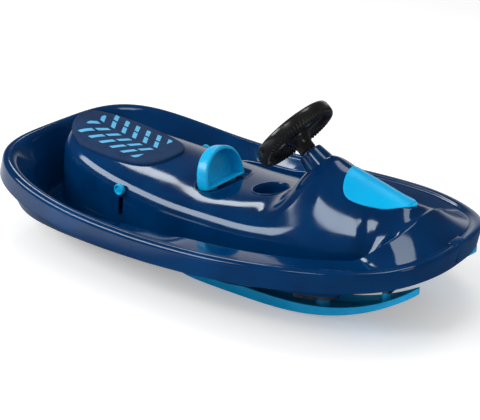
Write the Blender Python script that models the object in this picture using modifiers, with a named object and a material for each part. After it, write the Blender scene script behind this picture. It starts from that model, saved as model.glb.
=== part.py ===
# A ride-on snow sled with a steering wheel, two steered front skis and a pull-up claw brake.
# Metres. +X points to the nose, +Y to the rider's left, +Z up. The origin lies on the ground
# under the middle of the sled. The hull is one moulded sheet, lofted through closed rails.

import math

import bmesh
import bpy
import numpy as np
from mathutils import Matrix, Vector

# Fits shared by all pieces
SEAT_GAP = 0.0003        # between two pieces that touch
RUN_GAP = 0.0006         # between a turning piece and its bearing
SKIN_GAP = 0.0005        # under a thin piece that lies on a curved sheet
CUT_OVERRUN = 0.004      # how far a cutter passes the wall that it cuts

# Hull, overall
HULL_LENGTH = 0.987      # rear lip to nose
HULL_WIDTH = 0.549       # across the rim lips
HULL_WALL = 0.0035
FRONT_LENGTH = 0.5656    # the nose, the cowl and the steering; the seat and the brake share what is behind it
WIDEST_FROM_NOSE = 0.5485

# Rim, from its lip inwards
RIM_HEIGHT = 0.1265      # rim top over the ground at its lowest
RIM_RISE = 0.058         # how much higher the rim is at the rear
RIM_ROUND = 0.006        # rounding on each side of the rim top
RIM_ROUND_DROP = 0.004
RIM_WIDTH = 0.009        # flat top of the rim
LIP_DROP = 0.040         # rim top down to the edge of the lip
LIP_FLARE = 0.0075       # the lip stands out past the rim at the rear and the sides
LIP_TUCK = 0.004         # and lies this far inside it at the nose
LIP_STEP = 0.006         # the body lies this far inside the lip at the sides
LIP_STEP_REAR = 0.022    # and this far at the rear
FOOT_INSET = 0.052       # lower edge of the hull inside the body side
FOOT_INSET_REAR = 0.016
FOOT_HEIGHT = 0.040      # lower edge of the hull over the ground, at the rear
FOOT_RISE = 0.079        # how much higher that edge is at the nose
BILGE_HEIGHT = 0.018     # height of the rounding above that edge
BILGE_WIDTH = 0.026

# Foot wells, a trough that runs round the rear of the seat hump
LEDGE_DROP = 0.006       # ledge under the rim top, ahead of its step
LEDGE_DROP_REAR = 0.045  # the same rail on the wall of the trough at the rear
WELL_WALL_DRAFT = 0.007
TROUGH_WALL = 0.024      # rim down to the trough's floor behind the hump, along the sled
WELL_FLOOR = 0.050       # floor of the wells over the ground
WELL_FLOOR_FRONT = 0.062 # the same over the steered skis
WELL_NOSE_GAP = 0.076    # nose to the front end of the ledge rail
WELL_END_LENGTH = 0.055  # the wells' floors climb to the deck over this length

# Seat hump and cowl
HUMP_REAR_GAP = 0.0835   # rear lip to the rear end of the hump's shoulder
HUMP_HALF_WIDTH = 0.122  # to the upper edge of its shoulder
HUMP_DRAFT = 0.009       # the hump's side wall leans in by this much
SHOULDER_WIDTH = 0.012
SHOULDER_DROP = 0.020
SEAT_HEIGHT = 0.1555     # hump top over the ground at its lowest
COWL_HEIGHT = 0.2615     # highest place of the cowl over the ground
SHOULDER_UNDER_SEAT = 0.0135 # hump's shoulder under the seat, at its lowest
SHOULDER_RISE = 0.048    # how much higher the shoulder is at the rear

# Steering column, tilted back towards the rider. Lengths "below" run down it from the wheel.
COLUMN_TILT = math.radians(50)
WHEEL_FROM_NOSE = 0.3575
WHEEL_CENTRE_Z = 0.2845
COLUMN_RADIUS = 0.007
COLLAR_BELOW = 0.044
COLLAR_LENGTH = 0.040
COLLAR_RADIUS = 0.024
COLLAR_FOOT_RADIUS = 0.031
COLLAR_RELIEF_DEPTH = 0.026
COLLAR_RELIEF_RADIUS = 0.0205
BUSH_WALL = 0.0035
BUSH_FLANGE = 0.004
BUSH_FLANGE_HEIGHT = 0.0025
RETAINER_WIDTH = 0.005
RETAINER_LENGTH = 0.005

# Steering wheel
WHEEL_DIAMETER = 0.165
WHEEL_RIM_WIDTH = 0.017
WHEEL_RIM_DEPTH = 0.030
HUB_RADIUS = 0.026
HUB_TOP = 0.006          # over the middle of the wheel's plane
HUB_FLARE_DEPTH = 0.010  # from that plane down to the end of the hub's wide part
HUB_CONE_END = 0.024     # down to where the hub has narrowed to its sleeve
HUB_SLEEVE_RADIUS = 0.0165
HUB_SLEEVE_END = 0.040
HUB_WEB = 0.005          # the wheel screw clamps this wall on the column's end
GRIP_TEETH = 24
TOOTH_DEPTH = 0.0024
SPOKE_WIDTH = 0.027
SPOKE_TIP_WIDTH = 0.020
SPOKE_DEPTH = 0.009
SPOKE_DROP = 0.006       # the spokes drop towards the hub
CAP_RADIUS = 0.021
CAP_HEIGHT = 0.0042
CAP_WALL = 0.0016
SCREW_RADIUS = 0.0025
SCREW_HEAD_RADIUS = 0.0048
SCREW_HEAD_HEIGHT = 0.0026
SCREW_LENGTH = 0.016
SCREW_RECESS_RADIUS = 0.0018
SCREW_RECESS_DEPTH = 0.0012

# Crank and tie bar
CRANK_RADIUS = 0.035     # column axis to crank pin
CRANK_BELOW = 0.3045     # upper face of the crank plate
CRANK_THICKNESS = 0.005
CRANK_WIDTH = 0.020
CRANK_BOSS_RADIUS = 0.0125
CRANK_BOSS_LENGTH = 0.007
CRANK_PIN_RADIUS = 0.004
CRANK_PIN_LENGTH = 0.0515
TIE_HEIGHT = 0.0855      # lower face of the tie bar over the ground
TIE_THICKNESS = 0.006
TIE_FROM_NOSE = 0.0865
TIE_WIDTH = 0.018
TIE_YOKE_FROM_NOSE = 0.1000
TIE_YOKE_LENGTH = 0.052
TIE_YOKE_WIDTH = 0.030
TIE_SLOT_INSET = 0.007   # ends of the crank pin's slot inside the yoke
TIE_SLOT_SIDE_GAP = 0.001
TIE_PIN_RADIUS = 0.003
TIE_PIN_HEAD_RADIUS = 0.0065
TIE_PIN_HEAD_HEIGHT = 0.0016
TIE_PIN_DEPTH = 0.012
TIE_PIN_TRAVEL = 0.003   # play of a ski's pin along the sled

# Skis. Their places are measured from the nose.
SKI_REAR_FROM_NOSE = 0.5415
SKI_TIP_FROM_NOSE = 0.0255
SKI_WIDEST_FROM_NOSE = 0.3435
SKI_HALF_WIDTH = 0.036
SKI_SPREAD = 0.105       # middle of the sled to the middle of a ski
SKI_SOLE = 0.004
SKI_WALL = 0.003
SKI_HEIGHT = 0.022
SKI_HEIGHT_TIP = 0.013
SKI_TIP_RISE = 0.098
ROCKER_FROM_NOSE = 0.3735
KINGPIN_FROM_NOSE = 0.2175
KINGPIN_RADIUS = 0.004
KINGPIN_HEAD_RADIUS = 0.009
KINGPIN_HEAD_HEIGHT = 0.003
KINGPIN_HEAD_RISE = 0.003    # underside of the head over the ski's sole
KINGPIN_BOSS_RADIUS = 0.013
TIE_BOSS_RADIUS = 0.009

# Carrier under the wells, which holds the kingpins and the lower end of the column
CARRIER_THICKNESS = 0.008
CARRIER_FROM_NOSE = 0.2575   # its rear edge
CARRIER_LENGTH = 0.080
CARRIER_END_INSET = 0.0080   # inside the outer edge of the wells' floors
CARRIER_CORNER = 0.014
BEARING_BELOW = 0.2474   # upper end of the lower bearing
BEARING_LENGTH = 0.020
BEARING_RADIUS = 0.013
PEDESTAL_WIDTH = 0.020
PEDESTAL_LENGTH = 0.034
CARRIER_SCREW_INSET = 0.018
CARRIER_SCREW_FRONT_INSET = 0.012
NUT_RADIUS = 0.007
NUT_HEIGHT = 0.0045
WASHER_RADIUS = 0.0085
WASHER_THICKNESS = 0.0012
KINGPIN_END = 0.001      # the kingpin stands out of its nut

# Brake. Heights "under seat" go down from the seat's lowest place.
AXLE_UNDER_SEAT = 0.0165
AXLE_RADIUS = 0.005
AXLE_CAP_RADIUS = 0.0115
AXLE_CAP_HEIGHT = 0.008
AXLE_CAP_BORE = 0.005
AXLE_CAP_SPREAD = 0.1325 # middle of the sled to a cap's inner face
AXLE_SLOT_WIDTH = 0.012
AXLE_SLOT_UNDER_SEAT = 0.0335
AXLE_SLOT_LENGTH = 0.038
LEVER_SPREAD = 0.0525    # middle of the sled to the middle of a lever bar
LEVER_THICKNESS = 0.005
LEVER_DEPTH = 0.017
LEVER_FRONT_FROM_NOSE = 0.5295
LEVER_FRONT_UNDER_SEAT = 0.0665
LEVER_TAIL_UNDER_SEAT = 0.0595
LEVER_SLEEVE_RADIUS = 0.0085
CROSSBAR_LENGTH = 0.016
CROSSBAR_HEIGHT = 0.010
HANDLE_HALF_WIDTH = 0.060
HANDLE_HEIGHT = 0.072
HANDLE_DEPTH = 0.028
HANDLE_BAND = 0.0075
HANDLE_ROUND = 0.005     # rounding of the band's outer edges
HANDLE_FOOT_BAND = 0.004
HANDLE_WEB = 0.004
HANDLE_LEAN = math.radians(12)
HANDLE_FOOT_UNDER_SEAT = 0.0075
STEM_SPREAD = 0.030
STEM_LENGTH = 0.009
STEM_WIDTH = 0.020
TRAY_FROM_NOSE = 0.5235
TRAY_LENGTH = 0.068      # recess round the handle, along the sled
TRAY_WIDTH = 0.150
TRAY_DEPTH = 0.011
TRAY_WALL = 0.0035
TRAY_SLOT_LENGTH = 0.024 # each stem of the handle has its own slot
TRAY_SLOT_WIDTH = 0.028
CLAW_THICKNESS = 0.003
CLAW_WIDTH = 0.034
CLAW_TIP_BEHIND = 0.028  # the claws' tips lie this far behind the lever's tail
CLAW_TIP_Z = 0.030
CLAW_TOOTH = 0.010
CLAW_TEETH = 3
RIVET_RADIUS = 0.0025
RIVET_HEAD_RADIUS = 0.0045
RIVET_HEAD_HEIGHT = 0.0015
RIVET_SPACING = 0.024
RIVET_END_INSET = 0.0048 # the last rivet from the lever's tail
CLAW_BACK_LENGTH = 0.0408    # how far the claws reach up the lever
SPRING_WIRE = 0.0012     # radius of the wire
SPRING_RADIUS = 0.0085
SPRING_TURNS = 5
SPRING_PITCH = 0.0034
SPRING_START = 0.0595    # middle of the sled to the coil's inner end
SPRING_LEG = 0.030

# Seat pad and nose inlay, which follow the hull's sheet
PAD_REAR_GAP = 0.0895    # rear lip to the pad
PAD_FRONT_GAP = 0.0889   # the pad to the front part
PAD_HALF_WIDTH = 0.084
PAD_THICKNESS = 0.0055
INLAY_FROM_NOSE = 0.2315 # its rear edge
INLAY_REAR_LENGTH = 0.030    # rear edge to the widest place
INLAY_NOSE_LENGTH = 0.106
INLAY_HALF_WIDTH = 0.051
INLAY_THICKNESS = 0.0018
OUTLINE_REACH = 0.150    # height of the tools that cut the two outlines

# Cup, nose boss and keels
CUP_FROM_NOSE = 0.4105
CUP_RADIUS = 0.034
CUP_DRAFT = 0.005
CUP_DEPTH = 0.048
CUP_LIP = 0.0012         # the cup's ring stands out of the hump
CUP_TILT = math.radians(6.5)
BOSS_HALF_WIDTH = 0.018
BOSS_LENGTH = 0.022
BOSS_HEIGHT = 0.0365
BOSS_SETBACK = 0.0005
BOSS_ROUND = 0.0035
BOSS_TOP = 0.165
KEEL_SPREAD = 0.100
KEEL_REAR_GAP = 0.1215   # rear lip to the keels
KEEL_FRONT_GAP = 0.0079  # the keels to the front part
KEEL_WEB = 0.005
KEEL_WIDTH = 0.018
KEEL_FOOT_HEIGHT = 0.012
KEEL_END_RISE = 0.024
KEEL_END_LENGTH = 0.040

# Mesh fineness
REAR_STEPS = 12
NOSE_STEPS = 20
ROUND_STEPS = 20
SMALL_STEPS = 12

# Shares of a length or a width, with no unit
FRONT_SHARE = 0.573      # share of the tables below that the front part holds
LEDGE_SHARE = 0.4375     # the foot ledge's share of the well, next to its floor
AXLE_SHARE = 0.7345      # the brake's axle on the way from the rear lip to the front part
TAIL_SHARE = 0.407
PAD_TAPER_SHARE = 0.07
PEDESTAL_SHARES = (0.15, 0.85)   # where the pedestal meets the lower bearing, along it
TIE_CORNER_SHARE = 0.6   # rounding of the tie bar's ends, of half its width
CLAW_BACK_SHARE = 0.45   # half the claws' width on the lever, of the lever's depth
CLAW_CORNER_SHARE = 0.4
CLAW_TOOTH_SHARE = 0.75  # length of a claw's tooth, of the teeth's spacing
ROUND_PROFILE_SHARE = 0.5    # a bevel of this profile is a quarter circle
PLUG_SHARES = (0.6, 0.25)
SPOKE_TOP_SHARE = 0.8
TOOTH_EDGE_SHARES = (0.12, 0.88)
HEAD_TOP_SHARE = 0.7     # flat top of a screw's or rivet's head
PIN_TOP_SHARE = 0.8
CAP_DOME_SHARES = (0.7, 0.6)
# The face of an axle cap, from its middle outwards: shares of its radius and its height
AXLE_CAP_SHARES = ((0.0, 0.8), (0.66, 0.8), (0.74, 1.0), (0.9, 1.0), (1.0, 0.75))
# Section of the wheel's rim: shares of half its width and half its depth
RIM_SECTION_SHARES = ((-0.5, 1.0), (0.5, 1.0), (0.92, 0.72), (1.0, 0.1), (0.94, -0.6), (0.45, -1.0),
                      (-0.45, -1.0), (-0.94, -0.6), (-1.0, 0.1), (-0.92, 0.72))

# Powers of rounded outlines: 2 gives an ellipse, more a squarer one
RAIL_POWERS = {"foot": (3.6, 2.4), "bilge": (3.7, 2.45), "body_top": (3.75, 2.5), "lip": (3.75, 2.5),
               "rim_out": (3.75, 2.7), "rim_top_out": (3.75, 2.7), "rim_top_in": (3.75, 2.7),
               "ledge_out": (3.7, 2.7), "ledge_in": (3.4, 2.7), "floor_out": (3.2, 2.7),
               "floor_in": (2.9, 3.0), "side_top": (2.7, 3.0), "shoulder": (2.6, 3.0)}
DECK_POWER = 2.6
OVAL_POWER = 2.6
PAD_POWER = 3.2
INLAY_POWERS = (2.6, 1.6)
SKI_POWERS = (4.0, 2.4)
ROCKER_POWER = 2.64
ARCH_POWER = 0.8

HALF_LENGTH = HULL_LENGTH / 2
HALF_WIDTH = HULL_WIDTH / 2
REAR_LENGTH = HULL_LENGTH - FRONT_LENGTH
SPLIT_X = HALF_LENGTH - FRONT_LENGTH
WIDEST_X = HALF_LENGTH - WIDEST_FROM_NOSE
WHEEL_CENTRE_X = HALF_LENGTH - WHEEL_FROM_NOSE
TIE_X = HALF_LENGTH - TIE_FROM_NOSE
TIE_YOKE_REAR_X = HALF_LENGTH - TIE_YOKE_FROM_NOSE
SKI_REAR_X = HALF_LENGTH - SKI_REAR_FROM_NOSE
SKI_TIP_X = HALF_LENGTH - SKI_TIP_FROM_NOSE
SKI_WIDEST_X = HALF_LENGTH - SKI_WIDEST_FROM_NOSE
ROCKER_X = HALF_LENGTH - ROCKER_FROM_NOSE
KINGPIN_X = HALF_LENGTH - KINGPIN_FROM_NOSE
CARRIER_REAR_X = HALF_LENGTH - CARRIER_FROM_NOSE
TRAY_X = HALF_LENGTH - TRAY_FROM_NOSE
CUP_X = HALF_LENGTH - CUP_FROM_NOSE
INLAY_REAR_X = HALF_LENGTH - INLAY_FROM_NOSE
PAD_REAR_X = PAD_REAR_GAP - HALF_LENGTH
PAD_FRONT_X = SPLIT_X - PAD_FRONT_GAP
KEEL_REAR_X = KEEL_REAR_GAP - HALF_LENGTH
KEEL_FRONT_X = SPLIT_X - KEEL_FRONT_GAP
AXLE = Vector((AXLE_SHARE * REAR_LENGTH - HALF_LENGTH, 0.0, SEAT_HEIGHT - AXLE_UNDER_SEAT))
FRONT = Vector((HALF_LENGTH - LEVER_FRONT_FROM_NOSE, 0.0, SEAT_HEIGHT - LEVER_FRONT_UNDER_SEAT))
TAIL = Vector((TAIL_SHARE * REAR_LENGTH - HALF_LENGTH, 0.0, SEAT_HEIGHT - LEVER_TAIL_UNDER_SEAT))
SHOULDER_HEIGHT = SEAT_HEIGHT - SHOULDER_UNDER_SEAT
HANDLE_FOOT_Z = SEAT_HEIGHT - HANDLE_FOOT_UNDER_SEAT

# Heights along the hull. Each pair holds a share of the hull's length, from the rear, and a share of a rise.
RIM_SHARES = ((0.0, 1.0), (0.074, 0.76), (0.196, 0.36), (0.318, 0.10), (0.449, 0.0), (0.581, 0.06),
              (0.703, 0.18), (0.824, 0.32), (0.926, 0.41), (1.0, 0.655))
RIDGE_SHARES = ((0.0, 0.53), (0.085, 0.53), (0.166, 0.325), (0.257, 0.19), (0.338, 0.11), (0.399, 0.06),
                (0.47, 0.0), (0.551, 0.04), (0.601, 0.09), (0.627, 0.127), (0.652, 0.325), (0.672, 0.627),
                (0.693, 0.863), (0.711, 0.985), (0.728, 1.0), (0.762, 0.882), (0.824, 0.712),
                (0.903, 0.486), (0.946, 0.344), (1.0, 0.09))
FOOT_SHARES = ((0.0, 0.0), (0.054, 0.025), (0.196, 0.10), (0.399, 0.114), (0.5, 0.165), (0.551, 0.253),
               (0.652, 0.291), (0.753, 0.43), (0.855, 0.532), (0.905, 0.696), (0.946, 0.924), (1.0, 1.0))
LEDGE_SHARES = ((0.0, 1.0), (0.297, 1.0), (0.368, 0.41), (0.449, 0.18), (0.5, 0.18), (0.535, 0.0), (1.0, 0.0))
FLOOR_SHARES = ((0.0, 0.83), (0.064, 0.5), (0.135, 0.0), (0.622, 0.0), (0.728, 1.0), (0.819, 1.0),
                (0.857, 2.42), (1.0, 3.33))
SHOULDER_SHARES = ((0.0, 1.0), (0.095, 1.0), (0.196, 0.583), (0.318, 0.271), (0.48, 0.0), (0.601, 0.0),
                   (0.703, 0.188), (0.804, 0.167), (0.865, 0.375), (1.0, 0.479))
CROWN_SHARES = ((0.0, 3.0), (0.55, 3.0), (0.68, 1.55), (0.80, 1.6), (1.0, 1.8))
TOP_RAIL_SHARES = (0.86, 0.71, 0.55, 0.38, 0.19)


# Helpers for objects

def clear_scene():
    for item in list(bpy.data.objects):
        bpy.data.objects.remove(item, do_unlink=True)


def make_collection(name, hidden=False):
    collection = bpy.data.collections.new(name)
    bpy.context.scene.collection.children.link(collection)
    collection.hide_render = hidden
    return collection


clear_scene()
PARTS = make_collection("snow_sled")
CUTTERS = make_collection("cutters", hidden=True)


def make_material(name, colour, roughness, metallic=0.0):
    material = bpy.data.materials.new(name)
    material.use_nodes = True
    shader = material.node_tree.nodes["Principled BSDF"]
    shader.inputs["Base Color"].default_value = (*colour, 1.0)
    shader.inputs["Roughness"].default_value = roughness
    shader.inputs["Metallic"].default_value = metallic
    return material


def place_in(obj, collection):
    collection.objects.link(obj)
    if collection is CUTTERS:
        obj.hide_render = True
        obj.display_type = "WIRE"
    return obj


def object_from_bmesh(name, shape, collection=PARTS):
    mesh = bpy.data.meshes.new(name)
    shape.to_mesh(mesh)
    shape.free()
    return place_in(bpy.data.objects.new(name, mesh), collection)


def face_outwards(shape):
    bmesh.ops.recalc_face_normals(shape, faces=shape.faces)
    if shape.calc_volume(signed=True) < 0:
        bmesh.ops.reverse_faces(shape, faces=shape.faces)


def object_from_faces(name, points, faces, collection=PARTS):
    mesh = bpy.data.meshes.new(name)
    mesh.from_pydata([tuple(point) for point in points], [], faces)
    mesh.validate()
    shape = bmesh.new()
    shape.from_mesh(mesh)
    face_outwards(shape)
    shape.to_mesh(mesh)
    shape.free()
    return place_in(bpy.data.objects.new(name, mesh), collection)


def finish(obj, material, sharp_angle=math.radians(35)):
    obj.data.materials.clear()
    obj.data.materials.append(material)
    obj.data.shade_smooth()
    obj.data.set_sharp_from_angle(angle=sharp_angle)
    return obj


def evaluated_mesh(obj):
    bpy.context.view_layer.update()
    graph = bpy.context.evaluated_depsgraph_get()
    return bpy.data.meshes.new_from_object(obj.evaluated_get(graph), depsgraph=graph)


def as_mesh(obj, weld=1e-6):
    """Replace an object by a plain mesh of its evaluated shape, in the same place."""
    name, collection, matrix = obj.name, obj.users_collection[0], obj.matrix_world.copy()
    mesh = evaluated_mesh(obj)
    bpy.data.objects.remove(obj, do_unlink=True)
    shape = bmesh.new()
    shape.from_mesh(mesh)
    bmesh.ops.remove_doubles(shape, verts=shape.verts, dist=weld)
    shape.transform(matrix)
    face_outwards(shape)
    shape.to_mesh(mesh)
    shape.free()
    mesh.name = name
    result = bpy.data.objects.new(name, mesh)
    return place_in(result, collection)


def combine(obj, others, operation):
    for other in others:
        other.hide_render = True
        modifier = obj.modifiers.new(operation.lower() + "_" + other.name, "BOOLEAN")
        modifier.operation = operation
        modifier.object = other
        modifier.solver = "EXACT"
    return obj


def cut(obj, *others):
    return combine(obj, others, "DIFFERENCE")


def join(obj, *others):
    return combine(obj, others, "UNION")


def move(obj, location=(0, 0, 0), matrix=None):
    obj.matrix_world = (matrix or Matrix.Translation(Vector(location))) @ obj.matrix_world
    return obj


def set_origin(obj, point):
    """Put the object's origin on its joint axis without moving its shape."""
    bpy.context.view_layer.update()
    shift = obj.matrix_world.inverted() @ Vector(point)
    obj.data.transform(Matrix.Translation(-shift))
    obj.matrix_world = obj.matrix_world @ Matrix.Translation(shift)
    return obj


# Helpers for shapes

def cylinder(name, radius, length, steps=ROUND_STEPS, top_radius=None, collection=CUTTERS):
    """A cylinder or cone along Z, its middle at the origin, with no corner in the sled's middle plane."""
    shape = bmesh.new()
    bmesh.ops.create_cone(shape, cap_ends=True, segments=steps, radius1=radius,
                          radius2=radius if top_radius is None else top_radius, depth=length,
                          matrix=Matrix.Rotation(math.pi / steps, 4, "Z"))
    return object_from_bmesh(name, shape, collection)


def box(name, size, collection=CUTTERS, bevel=0.0):
    shape = bmesh.new()
    bmesh.ops.create_cube(shape, size=1.0, matrix=Matrix.Diagonal((*size, 1.0)))
    if bevel:
        bmesh.ops.bevel(shape, geom=shape.edges[:], offset=bevel, segments=2, profile=ROUND_PROFILE_SHARE,
                        affect="EDGES")
    return object_from_bmesh(name, shape, collection)


def turned(name, profile, steps=ROUND_STEPS, collection=PARTS):
    """A turned piece round Z. The profile lists (radius, height) down its outer side."""
    mesh = bpy.data.meshes.new(name)
    points = [(radius, 0.0, height) for radius, height in profile]
    mesh.from_pydata(points, [(i, i + 1) for i in range(len(points) - 1)], [])
    obj = place_in(bpy.data.objects.new(name, mesh), collection)
    screw = obj.modifiers.new("turn", "SCREW")
    screw.axis = "Z"
    screw.steps = steps
    screw.render_steps = steps
    screw.use_merge_vertices = True
    screw.merge_threshold = 0.00001
    return obj


def ring_profile(inner, outer, bottom, top):
    return ((inner, top), (outer, top), (outer, bottom), (inner, bottom), (inner, top))


def flat_plate(name, outline, thickness, holes=(), collection=PARTS):
    """A flat plate in the XY plane, its middle plane at Z zero, with its holes as inner outlines."""
    curve = bpy.data.curves.new(name, "CURVE")
    curve.dimensions = "2D"
    curve.fill_mode = "BOTH"
    curve.extrude = thickness / 2
    for points in (outline, *holes):
        spline = curve.splines.new("POLY")
        spline.points.add(len(points) - 1)
        for point, (x, y) in zip(spline.points, points):
            point.co = (x, y, 0.0, 1.0)
        spline.use_cyclic_u = True
    return place_in(bpy.data.objects.new(name, curve), collection)


def circle_points(x, y, radius, steps=SMALL_STEPS):
    return [(x + radius * math.cos(2 * math.pi * i / steps), y + radius * math.sin(2 * math.pi * i / steps))
            for i in range(steps)]


def slot_points(x0, x1, y, radius, steps=8):
    """A slot along X with round ends."""
    front = [(x1 + radius * math.sin(math.pi * i / steps), y - radius * math.cos(math.pi * i / steps))
             for i in range(steps + 1)]
    rear = [(x0 - radius * math.sin(math.pi * i / steps), y + radius * math.cos(math.pi * i / steps))
            for i in range(steps + 1)]
    return front + rear


def smooth_step(value, start, end):
    t = np.clip((value - start) / (end - start), 0.0, 1.0)
    return t * t * (3 - 2 * t)


def along(x):
    """Place in the tables of shares: 0 at the rear lip, 1 at the nose."""
    if x > SPLIT_X:
        return 1 - (HALF_LENGTH - x) / FRONT_LENGTH * FRONT_SHARE
    return (x + HALF_LENGTH) / REAR_LENGTH * (1 - FRONT_SHARE)


def through(shares, position):
    """A smooth curve through pairs of shares, with no overshoot."""
    places = np.array([pair[0] for pair in shares])
    values = np.array([pair[1] for pair in shares])
    slopes = np.diff(values) / np.diff(places)
    inner = np.where(slopes[:-1] * slopes[1:] > 0,
                     2 * slopes[:-1] * slopes[1:] / (slopes[:-1] + slopes[1:] + 1e-12), 0.0)
    tangents = np.concatenate([[slopes[0]], inner, [slopes[-1]]])
    position = np.clip(position, places[0], places[-1])
    i = np.clip(np.searchsorted(places, position) - 1, 0, len(places) - 2)
    width = places[i + 1] - places[i]
    t = (position - places[i]) / width
    return (values[i] * (1 + 2 * t) * (1 - t) ** 2 + values[i + 1] * t * t * (3 - 2 * t)
            + tangents[i] * width * t * (1 - t) ** 2 - tangents[i + 1] * width * t * t * (1 - t))


# Hull surface

def rim_height(x):
    return RIM_HEIGHT + RIM_RISE * through(RIM_SHARES, along(x))


def foot_height(x):
    return FOOT_HEIGHT + FOOT_RISE * through(FOOT_SHARES, along(x))


def ridge_height(x):
    """Top of the seat hump, cowl and nose deck at the middle of the sled."""
    return SEAT_HEIGHT + (COWL_HEIGHT - SEAT_HEIGHT) * through(RIDGE_SHARES, along(x))


def shoulder_height(x):
    return SHOULDER_HEIGHT + SHOULDER_RISE * through(SHOULDER_SHARES, along(x))


def floor_height(x):
    return WELL_FLOOR + (WELL_FLOOR_FRONT - WELL_FLOOR) * through(FLOOR_SHARES, along(x))


class Rail:
    """A closed rail round the hull: two rear and two nose quarters of a rounded outline."""

    def __init__(self, rear, nose, half_width, powers):
        self.rear, self.nose, self.half_width = rear, nose, half_width
        self.rear_power, self.nose_power = powers

    def points(self):
        """Half the rail, on the left, from its rear end to its nose."""
        result = []
        for i in range(REAR_STEPS):
            turn = math.pi / 2 * i / REAR_STEPS
            result.append((WIDEST_X - (WIDEST_X - self.rear) * math.cos(turn) ** (2 / self.rear_power),
                           self.half_width * math.sin(turn) ** (2 / self.rear_power)))
        for i in range(NOSE_STEPS + 1):
            turn = math.pi / 2 * (1 - i / NOSE_STEPS)
            along_share = max(math.cos(turn), 0.0) ** (2 / self.nose_power)
            across_share = max(math.sin(turn), 0.0) ** (2 / self.nose_power)
            result.append((WIDEST_X + (self.nose - WIDEST_X) * along_share, self.half_width * across_share))
        result[-1] = (self.nose, 0.0)
        return np.array(result)

    def half_width_at(self, x):
        end, power = (self.rear, self.rear_power) if x < WIDEST_X else (self.nose, self.nose_power)
        share = min(abs(x - WIDEST_X) / abs(end - WIDEST_X), 1.0)
        return self.half_width * (1 - share ** power) ** (1 / power)

    def rear_x_at(self, y):
        """Where the rear part of the rail has the given half width."""
        share = (1 - (y / self.half_width) ** self.rear_power) ** (1 / self.rear_power)
        return WIDEST_X - (WIDEST_X - self.rear) * share


def make_rails():
    """All rails of the hull, from its lower edge up over the rim and in to the ridge."""
    rear_lip, nose = -HALF_LENGTH, HALF_LENGTH
    rear_rim = rear_lip + LIP_FLARE
    rim_half = HALF_WIDTH - LIP_FLARE
    body_half = HALF_WIDTH - LIP_STEP
    rear_body = rear_lip + LIP_STEP_REAR
    nose_lip = nose - LIP_TUCK
    rim_inner = 2 * RIM_ROUND + RIM_WIDTH
    rim_flat_in = rim_inner - RIM_ROUND
    side_top = HUMP_HALF_WIDTH + SHOULDER_WIDTH
    floor_in = side_top + HUMP_DRAFT
    well = rim_half - rim_inner - WELL_WALL_DRAFT - floor_in
    ledge_in = rim_half - rim_inner - LEDGE_SHARE * well
    ledge_nose = nose - WELL_NOSE_GAP
    hump_rear = rear_lip + HUMP_REAR_GAP
    spans = {
        "foot": (rear_body + FOOT_INSET_REAR, nose - 5 * LIP_STEP, body_half - FOOT_INSET),
        "bilge": (rear_body + FOOT_INSET_REAR / 3, nose_lip - 2 * LIP_STEP, body_half - BILGE_WIDTH),
        "body_top": (rear_body, nose_lip - LIP_STEP, body_half),
        "lip": (rear_lip, nose_lip, HALF_WIDTH),
        "rim_out": (rear_rim, nose, rim_half),
        "rim_top_out": (rear_rim + RIM_ROUND, nose - RIM_ROUND, rim_half - RIM_ROUND),
        "rim_top_in": (rear_rim + rim_flat_in, nose - rim_flat_in, rim_half - rim_flat_in),
        "ledge_out": (rear_rim + rim_inner, nose - rim_inner, rim_half - rim_inner),
        "ledge_in": (rear_rim + rim_inner + TROUGH_WALL / 2, ledge_nose, ledge_in),
        "floor_out": (rear_rim + rim_inner + TROUGH_WALL, ledge_nose - WELL_WALL_DRAFT,
                      ledge_in - WELL_WALL_DRAFT),
        "floor_in": (hump_rear - WELL_WALL_DRAFT - HUMP_DRAFT, ledge_nose - 2 * WELL_WALL_DRAFT, floor_in),
        "side_top": (hump_rear - HUMP_DRAFT, ledge_nose - 3 * WELL_WALL_DRAFT, side_top),
        "shoulder": (hump_rear, ledge_nose - 4 * WELL_WALL_DRAFT, HUMP_HALF_WIDTH),
    }
    return {name: Rail(*span, RAIL_POWERS[name]) for name, span in spans.items()}


RAILS = make_rails()


def deck_height(x, y):
    """Nose deck, from the rim up to the ridge in a bell."""
    rim = rim_height(x)
    across = min(abs(y) / max(RAILS["rim_top_out"].half_width_at(x), SEAT_GAP), 1.0)
    return rim + (ridge_height(x) - rim) * math.cos(math.pi / 2 * across) ** DECK_POWER


def crown_height(x, y):
    """Top of the seat hump and the cowl inside their shoulders."""
    across = min(abs(y) / max(RAILS["shoulder"].half_width_at(x), SEAT_GAP), 1.0)
    ridge, shoulder = ridge_height(x), shoulder_rail_height(x, RAILS["shoulder"].half_width_at(x))
    return ridge - (ridge - shoulder) * across ** through(CROWN_SHARES, along(x))


def deck_share(x):
    """0 along the wells, 1 on the nose deck ahead of them."""
    tip = RAILS["floor_in"].nose
    return smooth_step(x, tip - WELL_END_LENGTH, tip - WELL_WALL_DRAFT)


def shoulder_rail_height(x, y):
    share = deck_share(x)
    return (1 - share) * shoulder_height(x) + share * deck_height(x, y)


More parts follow.
